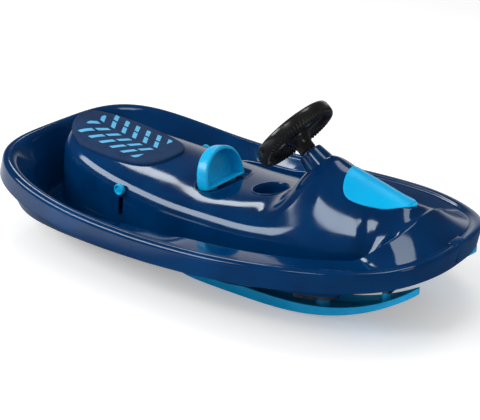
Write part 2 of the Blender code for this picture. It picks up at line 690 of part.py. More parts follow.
def rail_height(name, x, y):
    rim = rim_height(x)
    deck = deck_share(x)
    if name == "foot":
        return foot_height(x)
    if name == "bilge":
        return foot_height(x) + min(BILGE_HEIGHT, (rim - LIP_DROP - foot_height(x)) / 2)
    if name in ("body_top", "lip"):
        return rim - LIP_DROP
    if name == "rim_out":
        return rim - RIM_ROUND_DROP
    if name in ("rim_top_out", "rim_top_in"):
        return rim
    if name == "ledge_out":
        return rim - RIM_ROUND_DROP
    if name == "ledge_in":
        drop = LEDGE_DROP + (LEDGE_DROP_REAR - LEDGE_DROP) * through(LEDGE_SHARES, along(x))
        return (1 - deck) * (rim - drop) + deck * deck_height(x, y)
    if name in ("floor_out", "floor_in"):
        return (1 - deck) * floor_height(x) + deck * deck_height(x, y)
    if name == "side_top":
        return shoulder_rail_height(x, y) - (1 - deck) * SHOULDER_DROP
    return shoulder_rail_height(x, y)


def hull_surface():
    """Points and quads of the outer sheet, both halves."""
    rows = []
    for name, rail in RAILS.items():
        rows.append([(x, y, rail_height(name, x, y)) for x, y in rail.points()])
    outer = RAILS["shoulder"]
    middle, half_length = (outer.rear + outer.nose) / 2, (outer.nose - outer.rear) / 2
    for share in TOP_RAIL_SHARES:
        shorter = 1 - (1 - share) * outer.half_width / half_length
        points = [(middle + (x - middle) * shorter, y * share) for x, y in outer.points()]
        rows.append([(x, y, crown_height(x, y)) for x, y in points])
    columns = len(rows[0])
    points, faces = [], []
    index = np.zeros((len(rows), columns, 2), int)
    for i, row in enumerate(rows):
        for j, (x, y, z) in enumerate(row):
            ends = j in (0, columns - 1)
            points.append((x, 0.0 if ends else y, z))
            index[i, j, 0] = index[i, j, 1] = len(points) - 1
            if not ends:
                points.append((x, -y, z))
                index[i, j, 1] = len(points) - 1
    for i in range(len(rows) - 1):
        for j in range(columns - 1):
            for side in (0, 1):
                quad = [index[i, j, side], index[i, j + 1, side],
                        index[i + 1, j + 1, side], index[i + 1, j, side]]
                faces.append(tuple(int(n) for n in (quad[::-1] if side else quad)))
    ridge = []
    for j, (x, y, z) in enumerate(rows[-1]):
        if j in (0, columns - 1):
            ridge.append(int(index[-1, j, 0]))
        else:
            points.append((x, 0.0, ridge_height(x)))
            ridge.append(len(points) - 1)
    for j in range(columns - 1):
        for side in (0, 1):
            face = [index[-1, j, side], index[-1, j + 1, side], ridge[j + 1], ridge[j]]
            face = [int(n) for n in dict.fromkeys(face)]
            faces.append(tuple(face[::-1] if side else face))
    return points, [part for face in faces for part in split_quad(face, points)]


def split_quad(face, points):
    """Cut a four-sided face along its shorter diagonal, so that what lies on the hull gets its facets."""
    if len(face) < 4:
        return [face]
    a, b, c, d = face
    if math.dist(points[a], points[c]) <= math.dist(points[b], points[d]):
        return [(a, b, c), (a, c, d)]
    return [(a, b, d), (b, c, d)]


def column_point(below, up=0.0):
    """A point on the column, below the wheel's centre, moved up at a right angle to the column."""
    return Vector((WHEEL_CENTRE_X + below * math.sin(COLUMN_TILT) + up * math.cos(COLUMN_TILT), 0.0,
                   WHEEL_CENTRE_Z - below * math.cos(COLUMN_TILT) + up * math.sin(COLUMN_TILT)))


COLUMN_MATRIX = Matrix.Translation(column_point(0)) @ Matrix.Rotation(-COLUMN_TILT, 4, "Y")


def on_column(obj):
    """Tilt a piece modelled round Z, its zero at the wheel's centre, on to the column."""
    return move(obj, matrix=COLUMN_MATRIX)


def along_y(obj, point):
    """Turn a piece modelled round Z so that its top points to +Y, and set it at a point."""
    return move(obj, matrix=Matrix.Translation(Vector(point)) @ Matrix.Rotation(-math.pi / 2, 4, "X"))


def upright(outline, thickness, name, y=0.0, holes=(), collection=PARTS):
    """A plate whose outline is given in X and Z, standing across the sled at a given Y."""
    plate = flat_plate(name, outline, thickness, holes, collection)
    plate.matrix_world = Matrix.Translation((0, y, 0)) @ Matrix.Rotation(math.pi / 2, 4, "X")
    return as_mesh(plate)


def loft(name, rings, collection=PARTS):
    """A closed body through rings with the same number of points."""
    count = len(rings[0])
    points = [point for ring in rings for point in ring]
    faces = [tuple(range(count)), tuple(len(points) - count + i for i in range(count))]
    for i in range(len(rings) - 1):
        for j in range(count):
            k = (j + 1) % count
            faces.append((i * count + j, i * count + k, (i + 1) * count + k, (i + 1) * count + j))
    return object_from_faces(name, points, faces, collection)


def plug(name, outline, top, bottom, inner_shares=PLUG_SHARES):
    """A body with a flat bottom whose top follows the hull's sheet."""
    middle = [sum(point[k] for point in outline) / len(outline) for k in (0, 1)]
    rings = [[(x, y, bottom) for x, y in outline]]
    for share in (1.0, *inner_shares):
        ring = [[middle[k] + (point[k] - middle[k]) * share for k in (0, 1)] for point in outline]
        rings.append([(x, y, top(x, y)) for x, y in ring])
    return loft(name, rings, CUTTERS)


def middle_of_sheet(x, y):
    return crown_height(x, y) - HULL_WALL / 2


def oval(x, y, half_length, half_width, power=OVAL_POWER, steps=28):
    result = []
    for i in range(steps):
        turn = 2 * math.pi * (i + 0.5) / steps
        a, b = math.cos(turn), math.sin(turn)
        result.append((x + half_length * math.copysign(abs(a) ** (2 / power), a),
                       y + half_width * math.copysign(abs(b) ** (2 / power), b)))
    return result


# Hull shell with what is moulded on it

def column_collar():
    """The solid collar of the column, and the tools that bore and lighten it."""
    top, end = -COLLAR_BELOW, -COLLAR_BELOW - COLLAR_LENGTH
    middle = (top + end) / 2
    collar = cylinder("collar", COLLAR_FOOT_RADIUS, COLLAR_LENGTH, top_radius=COLLAR_RADIUS)
    move(collar, (0, 0, middle))
    bush_radius = COLUMN_RADIUS + RUN_GAP + BUSH_WALL
    bore = move(cylinder("collar_bore", bush_radius + SEAT_GAP, 4 * COLLAR_LENGTH), (0, 0, end))
    tube = bush_radius + BUSH_WALL
    room = ring_profile(tube, COLLAR_RELIEF_RADIUS, end - CUT_OVERRUN, end + COLLAR_RELIEF_DEPTH)
    relief = turned("collar_relief", room, collection=CUTTERS)
    return on_column(collar), on_column(bore), on_column(as_mesh(relief))


def hump_cup():
    """The round cup: its solid, its lip ring and the tool that hollows it."""
    place = Matrix.Translation((CUP_X, 0, crown_height(CUP_X, 0))) @ Matrix.Rotation(-CUP_TILT, 4, "Y")
    outer, depth = CUP_RADIUS + HULL_WALL, CUP_DEPTH + CUP_LIP + HULL_WALL
    body = cylinder("cup_body", outer - CUP_DRAFT, depth, 2 * SMALL_STEPS, outer)
    move(body, (0, 0, CUP_LIP - depth / 2))
    hollow = move(cylinder("cup_hollow", CUP_RADIUS - CUP_DRAFT, CUP_DEPTH + CUT_OVERRUN, 2 * SMALL_STEPS,
                           CUP_RADIUS + CUP_LIP), (0, 0, (CUT_OVERRUN - CUP_DEPTH) / 2))
    return move(body, matrix=place), move(hollow, matrix=place)


def handle_tray():
    """The oval tray in the hump: its solid, and the tools for its hollow and its slot."""
    floor = crown_height(TRAY_X, 0) - TRAY_DEPTH
    outer = oval(TRAY_X, 0, TRAY_LENGTH / 2 + TRAY_WALL, TRAY_WIDTH / 2 + TRAY_WALL)
    body = plug("tray_body", outer, middle_of_sheet, floor - TRAY_WALL)
    inner = oval(TRAY_X, 0, TRAY_LENGTH / 2, TRAY_WIDTH / 2)
    wide = oval(TRAY_X, 0, TRAY_LENGTH / 2 + TRAY_WALL / 2, TRAY_WIDTH / 2 + TRAY_WALL / 2)
    hollow = loft("tray_hollow", [[(x, y, floor) for x, y in inner],
                                  [(x, y, floor + TRAY_DEPTH + CUT_OVERRUN) for x, y in wide]], CUTTERS)
    slots = [move(box("tray_slot_" + name, (TRAY_SLOT_LENGTH, TRAY_SLOT_WIDTH, TRAY_DEPTH), bevel=TRAY_WALL),
                  (FRONT.x, side * STEM_SPREAD, floor)) for side, name in ((1, "left"), (-1, "right"))]
    return body, [hollow, *slots]


def keel(side):
    """A stiffening rib under the hump with a runner at its foot."""
    y = side * KEEL_SPREAD
    start, front = KEEL_REAR_X, KEEL_FRONT_X
    end, rise = KEEL_END_LENGTH, KEEL_END_RISE
    foot = [(start, rise), (start + end / 2, rise / 4), (start + end, 0), (front - end, 0),
            (front - end / 2, rise / 4), (front, rise), (front, rise + KEEL_FOOT_HEIGHT),
            (front - end, KEEL_FOOT_HEIGHT), (start + end, KEEL_FOOT_HEIGHT),
            (start, rise + KEEL_FOOT_HEIGHT)]
    name = "keel_left" if side > 0 else "keel_right"
    runner = upright(foot, KEEL_WIDTH, name + "_foot", y, collection=CUTTERS)
    rear = start + KEEL_WEB
    low_x = RAILS["floor_in"].rear_x_at(KEEL_SPREAD) + HULL_WALL / 2
    high_x = RAILS["side_top"].rear_x_at(KEEL_SPREAD) + HULL_WALL / 2
    top = [(x, crown_height(x, KEEL_SPREAD + KEEL_WEB / 2) - HULL_WALL / 2)
           for x in np.linspace(front, AXLE.x - end, 7)]
    web = [(front, rise + KEEL_WEB), (front - end, KEEL_WEB), (rear + end, KEEL_WEB), (rear, rise + KEEL_WEB),
           (low_x, floor_height(low_x)), (high_x, shoulder_height(high_x) - SHOULDER_DROP)]
    web += [(x, z) for x, z in reversed(top)]
    web.reverse()
    return runner, upright(web, KEEL_WEB, name + "_web", y, collection=CUTTERS)


def nose_boss():
    front = HALF_LENGTH - BOSS_SETBACK
    return move(box("nose_boss", (BOSS_LENGTH, 2 * BOSS_HALF_WIDTH, BOSS_HEIGHT), bevel=BOSS_ROUND),
                (front - BOSS_LENGTH / 2, 0, BOSS_TOP - BOSS_HEIGHT / 2))


def carrier_screw_places():
    """The screws stand in the middle of the wells' floors."""
    rear = CARRIER_REAR_X + CARRIER_SCREW_INSET
    front = CARRIER_REAR_X + CARRIER_LENGTH - CARRIER_SCREW_FRONT_INSET
    places = []
    for x in (rear, front):
        spread = (RAILS["floor_in"].half_width_at(x) + RAILS["floor_out"].half_width_at(x)) / 2
        places += [(x, spread), (x, -spread)]
    return places


def make_hull(material):
    points, faces = hull_surface()
    sheet = object_from_faces("hull_shell", points, faces)
    wall = sheet.modifiers.new("wall", "SOLIDIFY")
    wall.thickness = HULL_WALL
    wall.offset = -1.0
    wall.use_even_offset = True
    collar, collar_bore, collar_relief = column_collar()
    cup_body, cup_hollow = hump_cup()
    tray_body, tray_tools = handle_tray()
    keels = keel(1) + keel(-1)
    join(sheet, collar, cup_body, tray_body, nose_boss(), *keels)
    cutters = [collar_bore, collar_relief, cup_hollow, *tray_tools]
    across = 2 * (AXLE_CAP_SPREAD + CUT_OVERRUN)
    cutters.append(along_y(cylinder("axle_bore", AXLE_RADIUS + SEAT_GAP, across, SMALL_STEPS), AXLE))
    slot_middle = SEAT_HEIGHT - AXLE_SLOT_UNDER_SEAT - AXLE_SLOT_LENGTH / 2
    for side, name in ((1, "axle_slot_left"), (-1, "axle_slot_right")):
        cutters.append(move(box(name, (AXLE_SLOT_WIDTH, 2 * SHOULDER_DROP, AXLE_SLOT_LENGTH)),
                            (AXLE.x, side * AXLE_CAP_SPREAD, slot_middle)))
    for i, (x, y) in enumerate(carrier_screw_places()):
        hole = cylinder(f"screw_hole_{i + 1}", SCREW_RADIUS + SEAT_GAP, 2 * SHOULDER_DROP, SMALL_STEPS)
        cutters.append(move(hole, (x, y, WELL_FLOOR_FRONT)))
    cut(sheet, *cutters)
    return finish(sheet, material)


def follow_hull(name, outline, thickness, middle_height, material):
    """A thin piece that lies on the hull's sheet, cut to an outline that is seen from above."""
    points, faces = hull_surface()
    inner = list(RAILS).index("ledge_in")
    count = REAR_STEPS + NOSE_STEPS + 1
    first = inner * (2 * count - 2)
    faces = [face for face in faces if min(face) >= first]
    patch = object_from_faces(name, points, faces)
    shape = bmesh.new()
    shape.from_mesh(patch.data)
    bmesh.ops.delete(shape, geom=[v for v in shape.verts if not v.link_faces], context="VERTS")
    shape.normal_update()
    if sum(face.normal.z for face in shape.faces) < 0:
        bmesh.ops.reverse_faces(shape, faces=shape.faces)
        shape.normal_update()
    for vert in shape.verts:
        vert.co += vert.normal * SKIN_GAP
    shape.to_mesh(patch.data)
    shape.free()
    skin = patch.modifiers.new("skin", "SOLIDIFY")
    skin.thickness = thickness
    skin.offset = 1.0
    skin.use_even_offset = True
    tool = flat_plate(name + "_outline", outline, OUTLINE_REACH, collection=CUTTERS)
    tool = as_mesh(move(tool, (0, 0, middle_height)))
    combine(patch, [tool], "INTERSECT")
    return finish(as_mesh(patch), material)


def pad_outline():
    half_length = (PAD_FRONT_X - PAD_REAR_X) / 2
    middle = (PAD_FRONT_X + PAD_REAR_X) / 2
    result = []
    for x, y in oval(middle, 0, half_length, PAD_HALF_WIDTH, PAD_POWER, 44):
        share = (x - middle) / half_length
        limit = RAILS["shoulder"].half_width_at(x) - SHOULDER_WIDTH / 2
        result.append((x, math.copysign(min(abs(y) * (1 - PAD_TAPER_SHARE * share), max(limit, 0.0)), y)))
    return result


def inlay_outline():
    """A rounded rear edge that widens forwards, then a long taper to a round tip."""
    widest = INLAY_REAR_X + INLAY_REAR_LENGTH
    left = []
    for reach, power, turns in ((-INLAY_REAR_LENGTH, INLAY_POWERS[0], range(8)),
                                (INLAY_NOSE_LENGTH, INLAY_POWERS[1], range(7, -1, -1))):
        for i in turns:
            turn = math.pi / 2 * (i / 8)
            left.append((widest + reach * math.cos(turn) ** (2 / power),
                         INLAY_HALF_WIDTH * math.sin(turn) ** (2 / power)))
    return left + [(x, -y) for x, y in reversed(left[1:-1])]


# Steering wheel and column

def wheel_rim(name):
    """The rim, with grip teeth on the edges that the fingers hold."""
    outer = WHEEL_DIAMETER / 2
    middle = outer - WHEEL_RIM_WIDTH / 2
    half_w, half_d = WHEEL_RIM_WIDTH / 2, WHEEL_RIM_DEPTH / 2
    toothed = {4, 5, 6, 7}
    rings = []
    for i in range(GRIP_TEETH * 2):
        low = i % 2
        for place in TOOTH_EDGE_SHARES:
            turn = 2 * math.pi * (i + place) / (GRIP_TEETH * 2)
            ring = []
            for j, (a, b) in enumerate(RIM_SECTION_SHARES):
                depth = TOOTH_DEPTH if low and j in toothed else 0.0
                radius = middle + a * half_w - math.copysign(depth, a)
                height = b * half_d + (depth if j in (5, 6) else 0.0)
                ring.append((radius * math.cos(turn), radius * math.sin(turn), height))
            rings.append(ring)
    count = len(RIM_SECTION_SHARES)
    points = [point for ring in rings for point in ring]
    faces = []
    for i in range(len(rings)):
        k = (i + 1) % len(rings)
        for j in range(count):
            m = (j + 1) % count
            faces.append((i * count + j, i * count + m, k * count + m, k * count + j))
    return object_from_faces(name, points, faces)


def make_wheel(material):
    wheel = wheel_rim("steering_wheel")
    web_top = HUB_TOP - CAP_HEIGHT - CAP_WALL / 2
    hub = as_mesh(turned("hub_body", (
        (0, HUB_TOP), (HUB_RADIUS, HUB_TOP), (HUB_RADIUS, -HUB_FLARE_DEPTH), (HUB_SLEEVE_RADIUS, -HUB_CONE_END),
        (HUB_SLEEVE_RADIUS, -HUB_SLEEVE_END), (0, -HUB_SLEEVE_END)), collection=CUTTERS))
    join(wheel, hub)
    reach = WHEEL_DIAMETER / 2 - WHEEL_RIM_WIDTH / 2
    for i in range(3):
        root, tip = HUB_RADIUS / 2, reach
        half_root, half_tip, half_depth = SPOKE_WIDTH / 2, SPOKE_TIP_WIDTH / 2, SPOKE_DEPTH / 2
        corners = ((-1, -1), (1, -1), (SPOKE_TOP_SHARE, 1), (-SPOKE_TOP_SHARE, 1))
        rings = [[(root, s * half_root, t * half_depth - SPOKE_DROP) for s, t in corners],
                 [(tip, s * half_tip, t * half_depth) for s, t in corners]]
        spoke = loft(f"spoke_{i + 1}", rings, CUTTERS)
        join(wheel, move(spoke, matrix=Matrix.Rotation(math.pi / 3 * (2 * i + 1), 4, "Z")))
    column_top = web_top - HUB_WEB
    cap, hole, seat = [radius + SEAT_GAP for radius in (CAP_RADIUS, SCREW_RADIUS, COLUMN_RADIUS)]
    top, end = HUB_TOP + CUT_OVERRUN, -HUB_SLEEVE_END - CUT_OVERRUN
    bore = turned("hub_bore", (
        (0, top), (cap, top), (cap, web_top), (hole, web_top), (hole, column_top), (seat, column_top),
        (seat, end), (0, end)), collection=CUTTERS)
    cut(wheel, as_mesh(bore))
    return finish(on_column(as_mesh(wheel)), material), web_top, column_top


def screw(name, head_under, length, collection=PARTS):
    """A pan head screw that points down, its head's underside at the given height."""
    top, head, shank = head_under + SCREW_HEAD_HEIGHT, SCREW_HEAD_RADIUS, SCREW_RADIUS
    return as_mesh(turned(name, (
        (0, top - SCREW_RECESS_DEPTH), (SCREW_RECESS_RADIUS, top), (head * HEAD_TOP_SHARE, top),
        (head, top - SCREW_HEAD_HEIGHT / 2), (head, head_under), (shank, head_under),
        (shank, head_under - length), (0, head_under - length)), SMALL_STEPS, collection))


def make_column(web_top, column_top, steel, black):
    wide, low = CAP_DOME_SHARES
    inside = CAP_RADIUS - CAP_WALL
    cap = as_mesh(turned("wheel_hub_cap", (
        (0, HUB_TOP + CAP_WALL), (CAP_RADIUS * wide, HUB_TOP + CAP_WALL * low),
        (CAP_RADIUS, HUB_TOP - CAP_WALL / 4), (CAP_RADIUS, web_top + SEAT_GAP), (inside, web_top + SEAT_GAP),
        (inside, HUB_TOP - CAP_WALL), (0, HUB_TOP - CAP_WALL))))
    finish(on_column(cap), black)
    finish(on_column(screw("wheel_screw", web_top + SEAT_GAP, SCREW_LENGTH)), steel)
    top = column_top - SEAT_GAP
    end = -(CRANK_BELOW + CRANK_THICKNESS / 2 - SEAT_GAP)
    tapped = SCREW_RADIUS + SEAT_GAP
    depth = SCREW_LENGTH
    column = turned("steering_column", (
        (tapped, top), (COLUMN_RADIUS, top), (COLUMN_RADIUS, end), (tapped, end), (tapped, end + depth),
        (0, end + depth), (0, top - depth), (tapped, top - depth), (tapped, top)))
    finish(on_column(as_mesh(column)), steel)
    inner = COLUMN_RADIUS + RUN_GAP
    outer = inner + BUSH_WALL
    flange = outer + BUSH_FLANGE
    top = -COLLAR_BELOW + SEAT_GAP
    end = -COLLAR_BELOW - COLLAR_LENGTH
    flange_top = top + BUSH_FLANGE_HEIGHT
    bush = turned("column_bush", (
        (inner, flange_top), (flange, flange_top), (flange, top), (outer, top), (outer, end), (inner, end),
        (inner, flange_top)))
    finish(on_column(as_mesh(bush)), black)
    inner = COLUMN_RADIUS + SEAT_GAP
    retainer = turned("column_retainer", ring_profile(
        inner, inner + RETAINER_WIDTH, end - RUN_GAP - RETAINER_LENGTH, end - RUN_GAP))
    finish(on_column(as_mesh(retainer)), steel)


def make_crank(steel):
    """The crank arm with its pin, on the lower end of the column."""
    upper, lower = -CRANK_BELOW, -CRANK_BELOW - CRANK_THICKNESS
    ends = ((CRANK_RADIUS, CRANK_WIDTH / 2, range(-90, 91, 15)),
            (0.0, CRANK_BOSS_RADIUS, range(105, 256, 15)))
    outline = [(x + radius * math.cos(math.radians(a)), radius * math.sin(math.radians(a)))
               for x, radius, turns in ends for a in turns]
    arm = as_mesh(move(flat_plate("crank_arm", outline, CRANK_THICKNESS), (0, 0, (upper + lower) / 2)))
    boss = move(cylinder("crank_boss", CRANK_BOSS_RADIUS, CRANK_BOSS_LENGTH + CRANK_THICKNESS),
                (0, 0, (upper + CRANK_BOSS_LENGTH + lower) / 2))
    pin_length = CRANK_PIN_LENGTH + CRANK_THICKNESS / 2
    pin = move(cylinder("crank_pin", CRANK_PIN_RADIUS, pin_length, SMALL_STEPS),
               (CRANK_RADIUS, 0, upper - CRANK_THICKNESS / 2 - pin_length / 2))
    top = upper + CRANK_BOSS_LENGTH + CUT_OVERRUN
    seat = upper - CRANK_THICKNESS / 2
    bottom = lower - CUT_OVERRUN
    wide, narrow = COLUMN_RADIUS + SEAT_GAP, SCREW_RADIUS + SEAT_GAP
    bore = as_mesh(turned("crank_bore", (
        (0, top), (wide, top), (wide, seat), (narrow, seat), (narrow, bottom), (0, bottom)), collection=CUTTERS))
    cut(join(arm, boss, pin), bore)
    finish(on_column(as_mesh(arm)), steel)
    bolt = screw("crank_bolt", 0, SCREW_LENGTH - 2 * SCREW_RECESS_DEPTH)
    move(bolt, matrix=Matrix.Translation((0, 0, lower - SEAT_GAP)) @ Matrix.Rotation(math.pi, 4, "X"))
    finish(on_column(as_mesh(bolt)), steel)


# Tie bar, skis and carrier

def make_tie_bar(steel):
    middle = TIE_HEIGHT + TIE_THICKNESS / 2
    half = TIE_WIDTH / 2
    reach = SKI_SPREAD + half
    yoke_front = TIE_YOKE_REAR_X + TIE_YOKE_LENGTH
    half_yoke = TIE_YOKE_WIDTH / 2
    ends = [math.radians(a) for a in range(0, 91, 22)]
    corner = half * TIE_CORNER_SHARE
    inner, outer = half - corner, reach - corner
    quarter = [(TIE_X + inner + corner * math.cos(a), outer + corner * math.sin(a)) for a in ends]
    rear_quarter = [(TIE_X - inner - corner * math.sin(a), outer + corner * math.cos(a)) for a in ends]
    left = [(yoke_front, 0), (yoke_front, half_yoke - corner), (yoke_front - corner, half_yoke),
            (TIE_X + half, half_yoke + corner)]
    left += quarter + rear_quarter
    left += [(TIE_X - half, half_yoke + corner), (TIE_YOKE_REAR_X, half_yoke - corner), (TIE_YOKE_REAR_X, 0)]
    outline = left + [(x, -y) for x, y in reversed(left[1:-1])]
    slot_half = CRANK_PIN_RADIUS + TIE_SLOT_SIDE_GAP
    x0, x1 = TIE_YOKE_REAR_X + TIE_SLOT_INSET, yoke_front - TIE_SLOT_INSET
    yoke_slot = [(x0, -slot_half), (x1, -slot_half), (x1, slot_half), (x0, slot_half)]
    hole = TIE_PIN_RADIUS + RUN_GAP
    low, high = TIE_X - TIE_PIN_TRAVEL, TIE_X + TIE_PIN_TRAVEL
    holes = [yoke_slot] + [slot_points(low, high, side * SKI_SPREAD, hole, 6) for side in (1, -1)]
    finish(as_mesh(move(flat_plate("tie_bar", outline, TIE_THICKNESS, holes), (0, 0, middle))), steel)


def sole_height(x):
    share = max((x - ROCKER_X) / (SKI_TIP_X - ROCKER_X), 0.0)
    return SKI_TIP_RISE * share ** ROCKER_POWER


def ski_body(name, inset, floor, above, collection):
    """A ski's tray: its outer form, or with an inset the tool that hollows it."""
    rear, tip, half = SKI_REAR_X + inset, SKI_TIP_X - inset, SKI_HALF_WIDTH - inset
    rings = []
    for i in range(23):
        turn = math.pi * i / 22
        c = -math.cos(turn)
        power, reach = (SKI_POWERS[0], SKI_WIDEST_X - rear) if c < 0 else (SKI_POWERS[1], tip - SKI_WIDEST_X)
        x = SKI_WIDEST_X + reach * math.copysign(abs(c) ** (2 / power), c)
        width = max(half * abs(math.sin(turn)) ** (2 / power), SKI_WALL / 2 if 0 < i < 22 else SKI_WALL / 3)
        share = smooth_step(x, ROCKER_X, SKI_TIP_X)
        height = SKI_HEIGHT + (SKI_HEIGHT_TIP - SKI_HEIGHT) * share + above
        low = sole_height(x) + floor
        high = sole_height(x) + height
        rings.append([(x, -width, low), (x, width, low), (x, width, high), (x, -width, high)])
    return loft(name, rings, collection)


def make_ski(side, material, steel):
    name = "left" if side > 0 else "right"
    y = side * SKI_SPREAD
    ski = ski_body("ski_" + name, 0.0, 0.0, 0.0, PARTS)
    hollow = ski_body("ski_hollow_" + name, SKI_WALL, SKI_SOLE, CUT_OVERRUN, CUTTERS)
    cut(ski, hollow)
    carrier_under = WELL_FLOOR_FRONT - HULL_WALL - SEAT_GAP - CARRIER_THICKNESS
    boss_top = carrier_under - SEAT_GAP
    head_under = sole_height(KINGPIN_X) + KINGPIN_HEAD_RISE
    head_top = head_under + KINGPIN_HEAD_HEIGHT
    base = sole_height(KINGPIN_X) + SKI_SOLE / 2
    boss = move(cylinder("king_boss_" + name, KINGPIN_BOSS_RADIUS, boss_top - base),
                (KINGPIN_X, 0, (boss_top + base) / 2))
    tie_base = sole_height(TIE_X) + SKI_SOLE / 2
    tie_top = TIE_HEIGHT - SEAT_GAP
    tie_boss = move(cylinder("tie_boss_" + name, TIE_BOSS_RADIUS, tie_top - tie_base, SMALL_STEPS),
                    (TIE_X, 0, (tie_top + tie_base) / 2))
    head_room = move(cylinder("king_room_" + name, KINGPIN_HEAD_RADIUS + RUN_GAP, 2 * SKI_HEIGHT),
                     (KINGPIN_X, 0, head_top + RUN_GAP - SKI_HEIGHT))
    hole = move(cylinder("king_hole_" + name, KINGPIN_RADIUS + RUN_GAP, 4 * SKI_HEIGHT, SMALL_STEPS),
                (KINGPIN_X, 0, boss_top))
    pin_hole = move(cylinder("tie_hole_" + name, TIE_PIN_RADIUS + SEAT_GAP, 2 * TIE_PIN_DEPTH, SMALL_STEPS),
                    (TIE_X, 0, tie_top))
    cut(join(ski, boss, tie_boss), head_room, hole, pin_hole)
    ski = move(as_mesh(ski), (0, y, 0))
    finish(set_origin(ski, (KINGPIN_X, y, 0)), material)
    washer_low = carrier_under + CARRIER_THICKNESS + SEAT_GAP
    nut_low = washer_low + WASHER_THICKNESS + SEAT_GAP
    top = nut_low + NUT_HEIGHT + KINGPIN_END
    pin = as_mesh(turned("kingpin_" + name, (
        (0, top), (KINGPIN_RADIUS * PIN_TOP_SHARE, top), (KINGPIN_RADIUS, top - KINGPIN_END / 2),
        (KINGPIN_RADIUS, head_top), (KINGPIN_HEAD_RADIUS, head_top), (KINGPIN_HEAD_RADIUS, head_under),
        (0, head_under)), SMALL_STEPS))
    finish(move(pin, (KINGPIN_X, y, 0)), steel)
    washer = as_mesh(turned("kingpin_washer_" + name, ring_profile(
        KINGPIN_RADIUS + SEAT_GAP, WASHER_RADIUS, washer_low, washer_low + WASHER_THICKNESS), SMALL_STEPS))
    finish(move(washer, (KINGPIN_X, y, 0)), steel)
    nut = flat_plate("kingpin_nut_" + name, circle_points(0, 0, NUT_RADIUS, 6), NUT_HEIGHT,
                     [circle_points(0, 0, KINGPIN_RADIUS + SEAT_GAP)])
    finish(as_mesh(move(nut, (KINGPIN_X, y, nut_low + NUT_HEIGHT / 2))), steel)
    under = tie_top + TIE_THICKNESS + 3 * SEAT_GAP
    top, end = under + TIE_PIN_HEAD_HEIGHT, tie_top - TIE_PIN_DEPTH + SEAT_GAP
    head = TIE_PIN_HEAD_RADIUS
    tie_pin = as_mesh(turned("tie_bar_pin_" + name, (
        (0, top), (head * PIN_TOP_SHARE, top), (head, (top + under) / 2), (head, under), (TIE_PIN_RADIUS, under),
        (TIE_PIN_RADIUS, end), (0, end)), SMALL_STEPS))
    finish(move(tie_pin, (TIE_X, y, 0)), steel)


def make_carrier(steel, black):
    top = WELL_FLOOR_FRONT - HULL_WALL - SEAT_GAP
    front = CARRIER_REAR_X + CARRIER_LENGTH
    corner = CARRIER_CORNER
    # The ends follow the outer edge of the wells' floors, which narrow towards the nose
    ends = [(x, RAILS["floor_out"].half_width_at(x) - CARRIER_END_INSET)
            for x in (front, front - corner, CARRIER_REAR_X + corner)]
    left = [(front, 0), (front, ends[0][1] - corner), *ends[1:],
            (CARRIER_REAR_X, ends[2][1] - corner), (CARRIER_REAR_X, 0)]
    outline = left + [(x, -y) for x, y in reversed(left[1:-1])]
    holes = [circle_points(x, y, SCREW_RADIUS + SEAT_GAP) for x, y in carrier_screw_places()]
    holes += [circle_points(KINGPIN_X, side * SKI_SPREAD, KINGPIN_RADIUS + SEAT_GAP) for side in (1, -1)]
    carrier = flat_plate("steering_carrier", outline, CARRIER_THICKNESS, holes)
    carrier = as_mesh(move(carrier, (0, 0, top - CARRIER_THICKNESS / 2)))
    upper, lower = [column_point(BEARING_BELOW + BEARING_LENGTH * share) for share in PEDESTAL_SHARES]
    tube = on_column(move(cylinder("bearing_tube", BEARING_RADIUS, BEARING_LENGTH),
                          (0, 0, -BEARING_BELOW - BEARING_LENGTH / 2)))
    low = top - CARRIER_THICKNESS / 2
    pedestal = upright([(front - PEDESTAL_LENGTH, low), (front, low), (lower.x, lower.z), (upper.x, upper.z)],
                       PEDESTAL_WIDTH, "pedestal", collection=CUTTERS)
    bore = on_column(move(cylinder("bearing_bore", COLUMN_RADIUS + RUN_GAP, 3 * BEARING_LENGTH),
                          (0, 0, -BEARING_BELOW - BEARING_LENGTH / 2)))
    cut(join(carrier, tube, pedestal), bore)
    finish(as_mesh(carrier), black)
    length = HULL_WALL + CARRIER_THICKNESS + 2 * SEAT_GAP
    for i, (x, y) in enumerate(carrier_screw_places()):
        finish(move(screw(f"carrier_screw_{i + 1}", WELL_FLOOR_FRONT + SEAT_GAP, length), (x, y, 0)), steel)


# Brake

def lever_outline():
    """Side view of a lever bar: tail, a round eye on the axle, front end."""
    result = []
    for start, end in ((AXLE, FRONT), (FRONT, AXLE), (AXLE, TAIL), (TAIL, AXLE)):
        direction = (end - start).normalized()
        normal = Vector((-direction.z, 0, direction.x)) * LEVER_DEPTH / 2
        near = start + direction * (LEVER_DEPTH / 2 if start is AXLE else 0.0)
        far = end - direction * (LEVER_DEPTH / 2 if end is AXLE else 0.0)
        result += [(near.x - normal.x, near.z - normal.z), (far.x - normal.x, far.z - normal.z)]
    return result


def rivet_places():
    direction = (TAIL - AXLE).normalized()
    return [TAIL - direction * (RIVET_END_INSET + i * RIVET_SPACING) for i in range(2)]


def spring_hole():
    direction = (FRONT - AXLE).normalized()
    place = AXLE + direction * SPRING_LEG
    return Vector((place.x, 0, place.z))


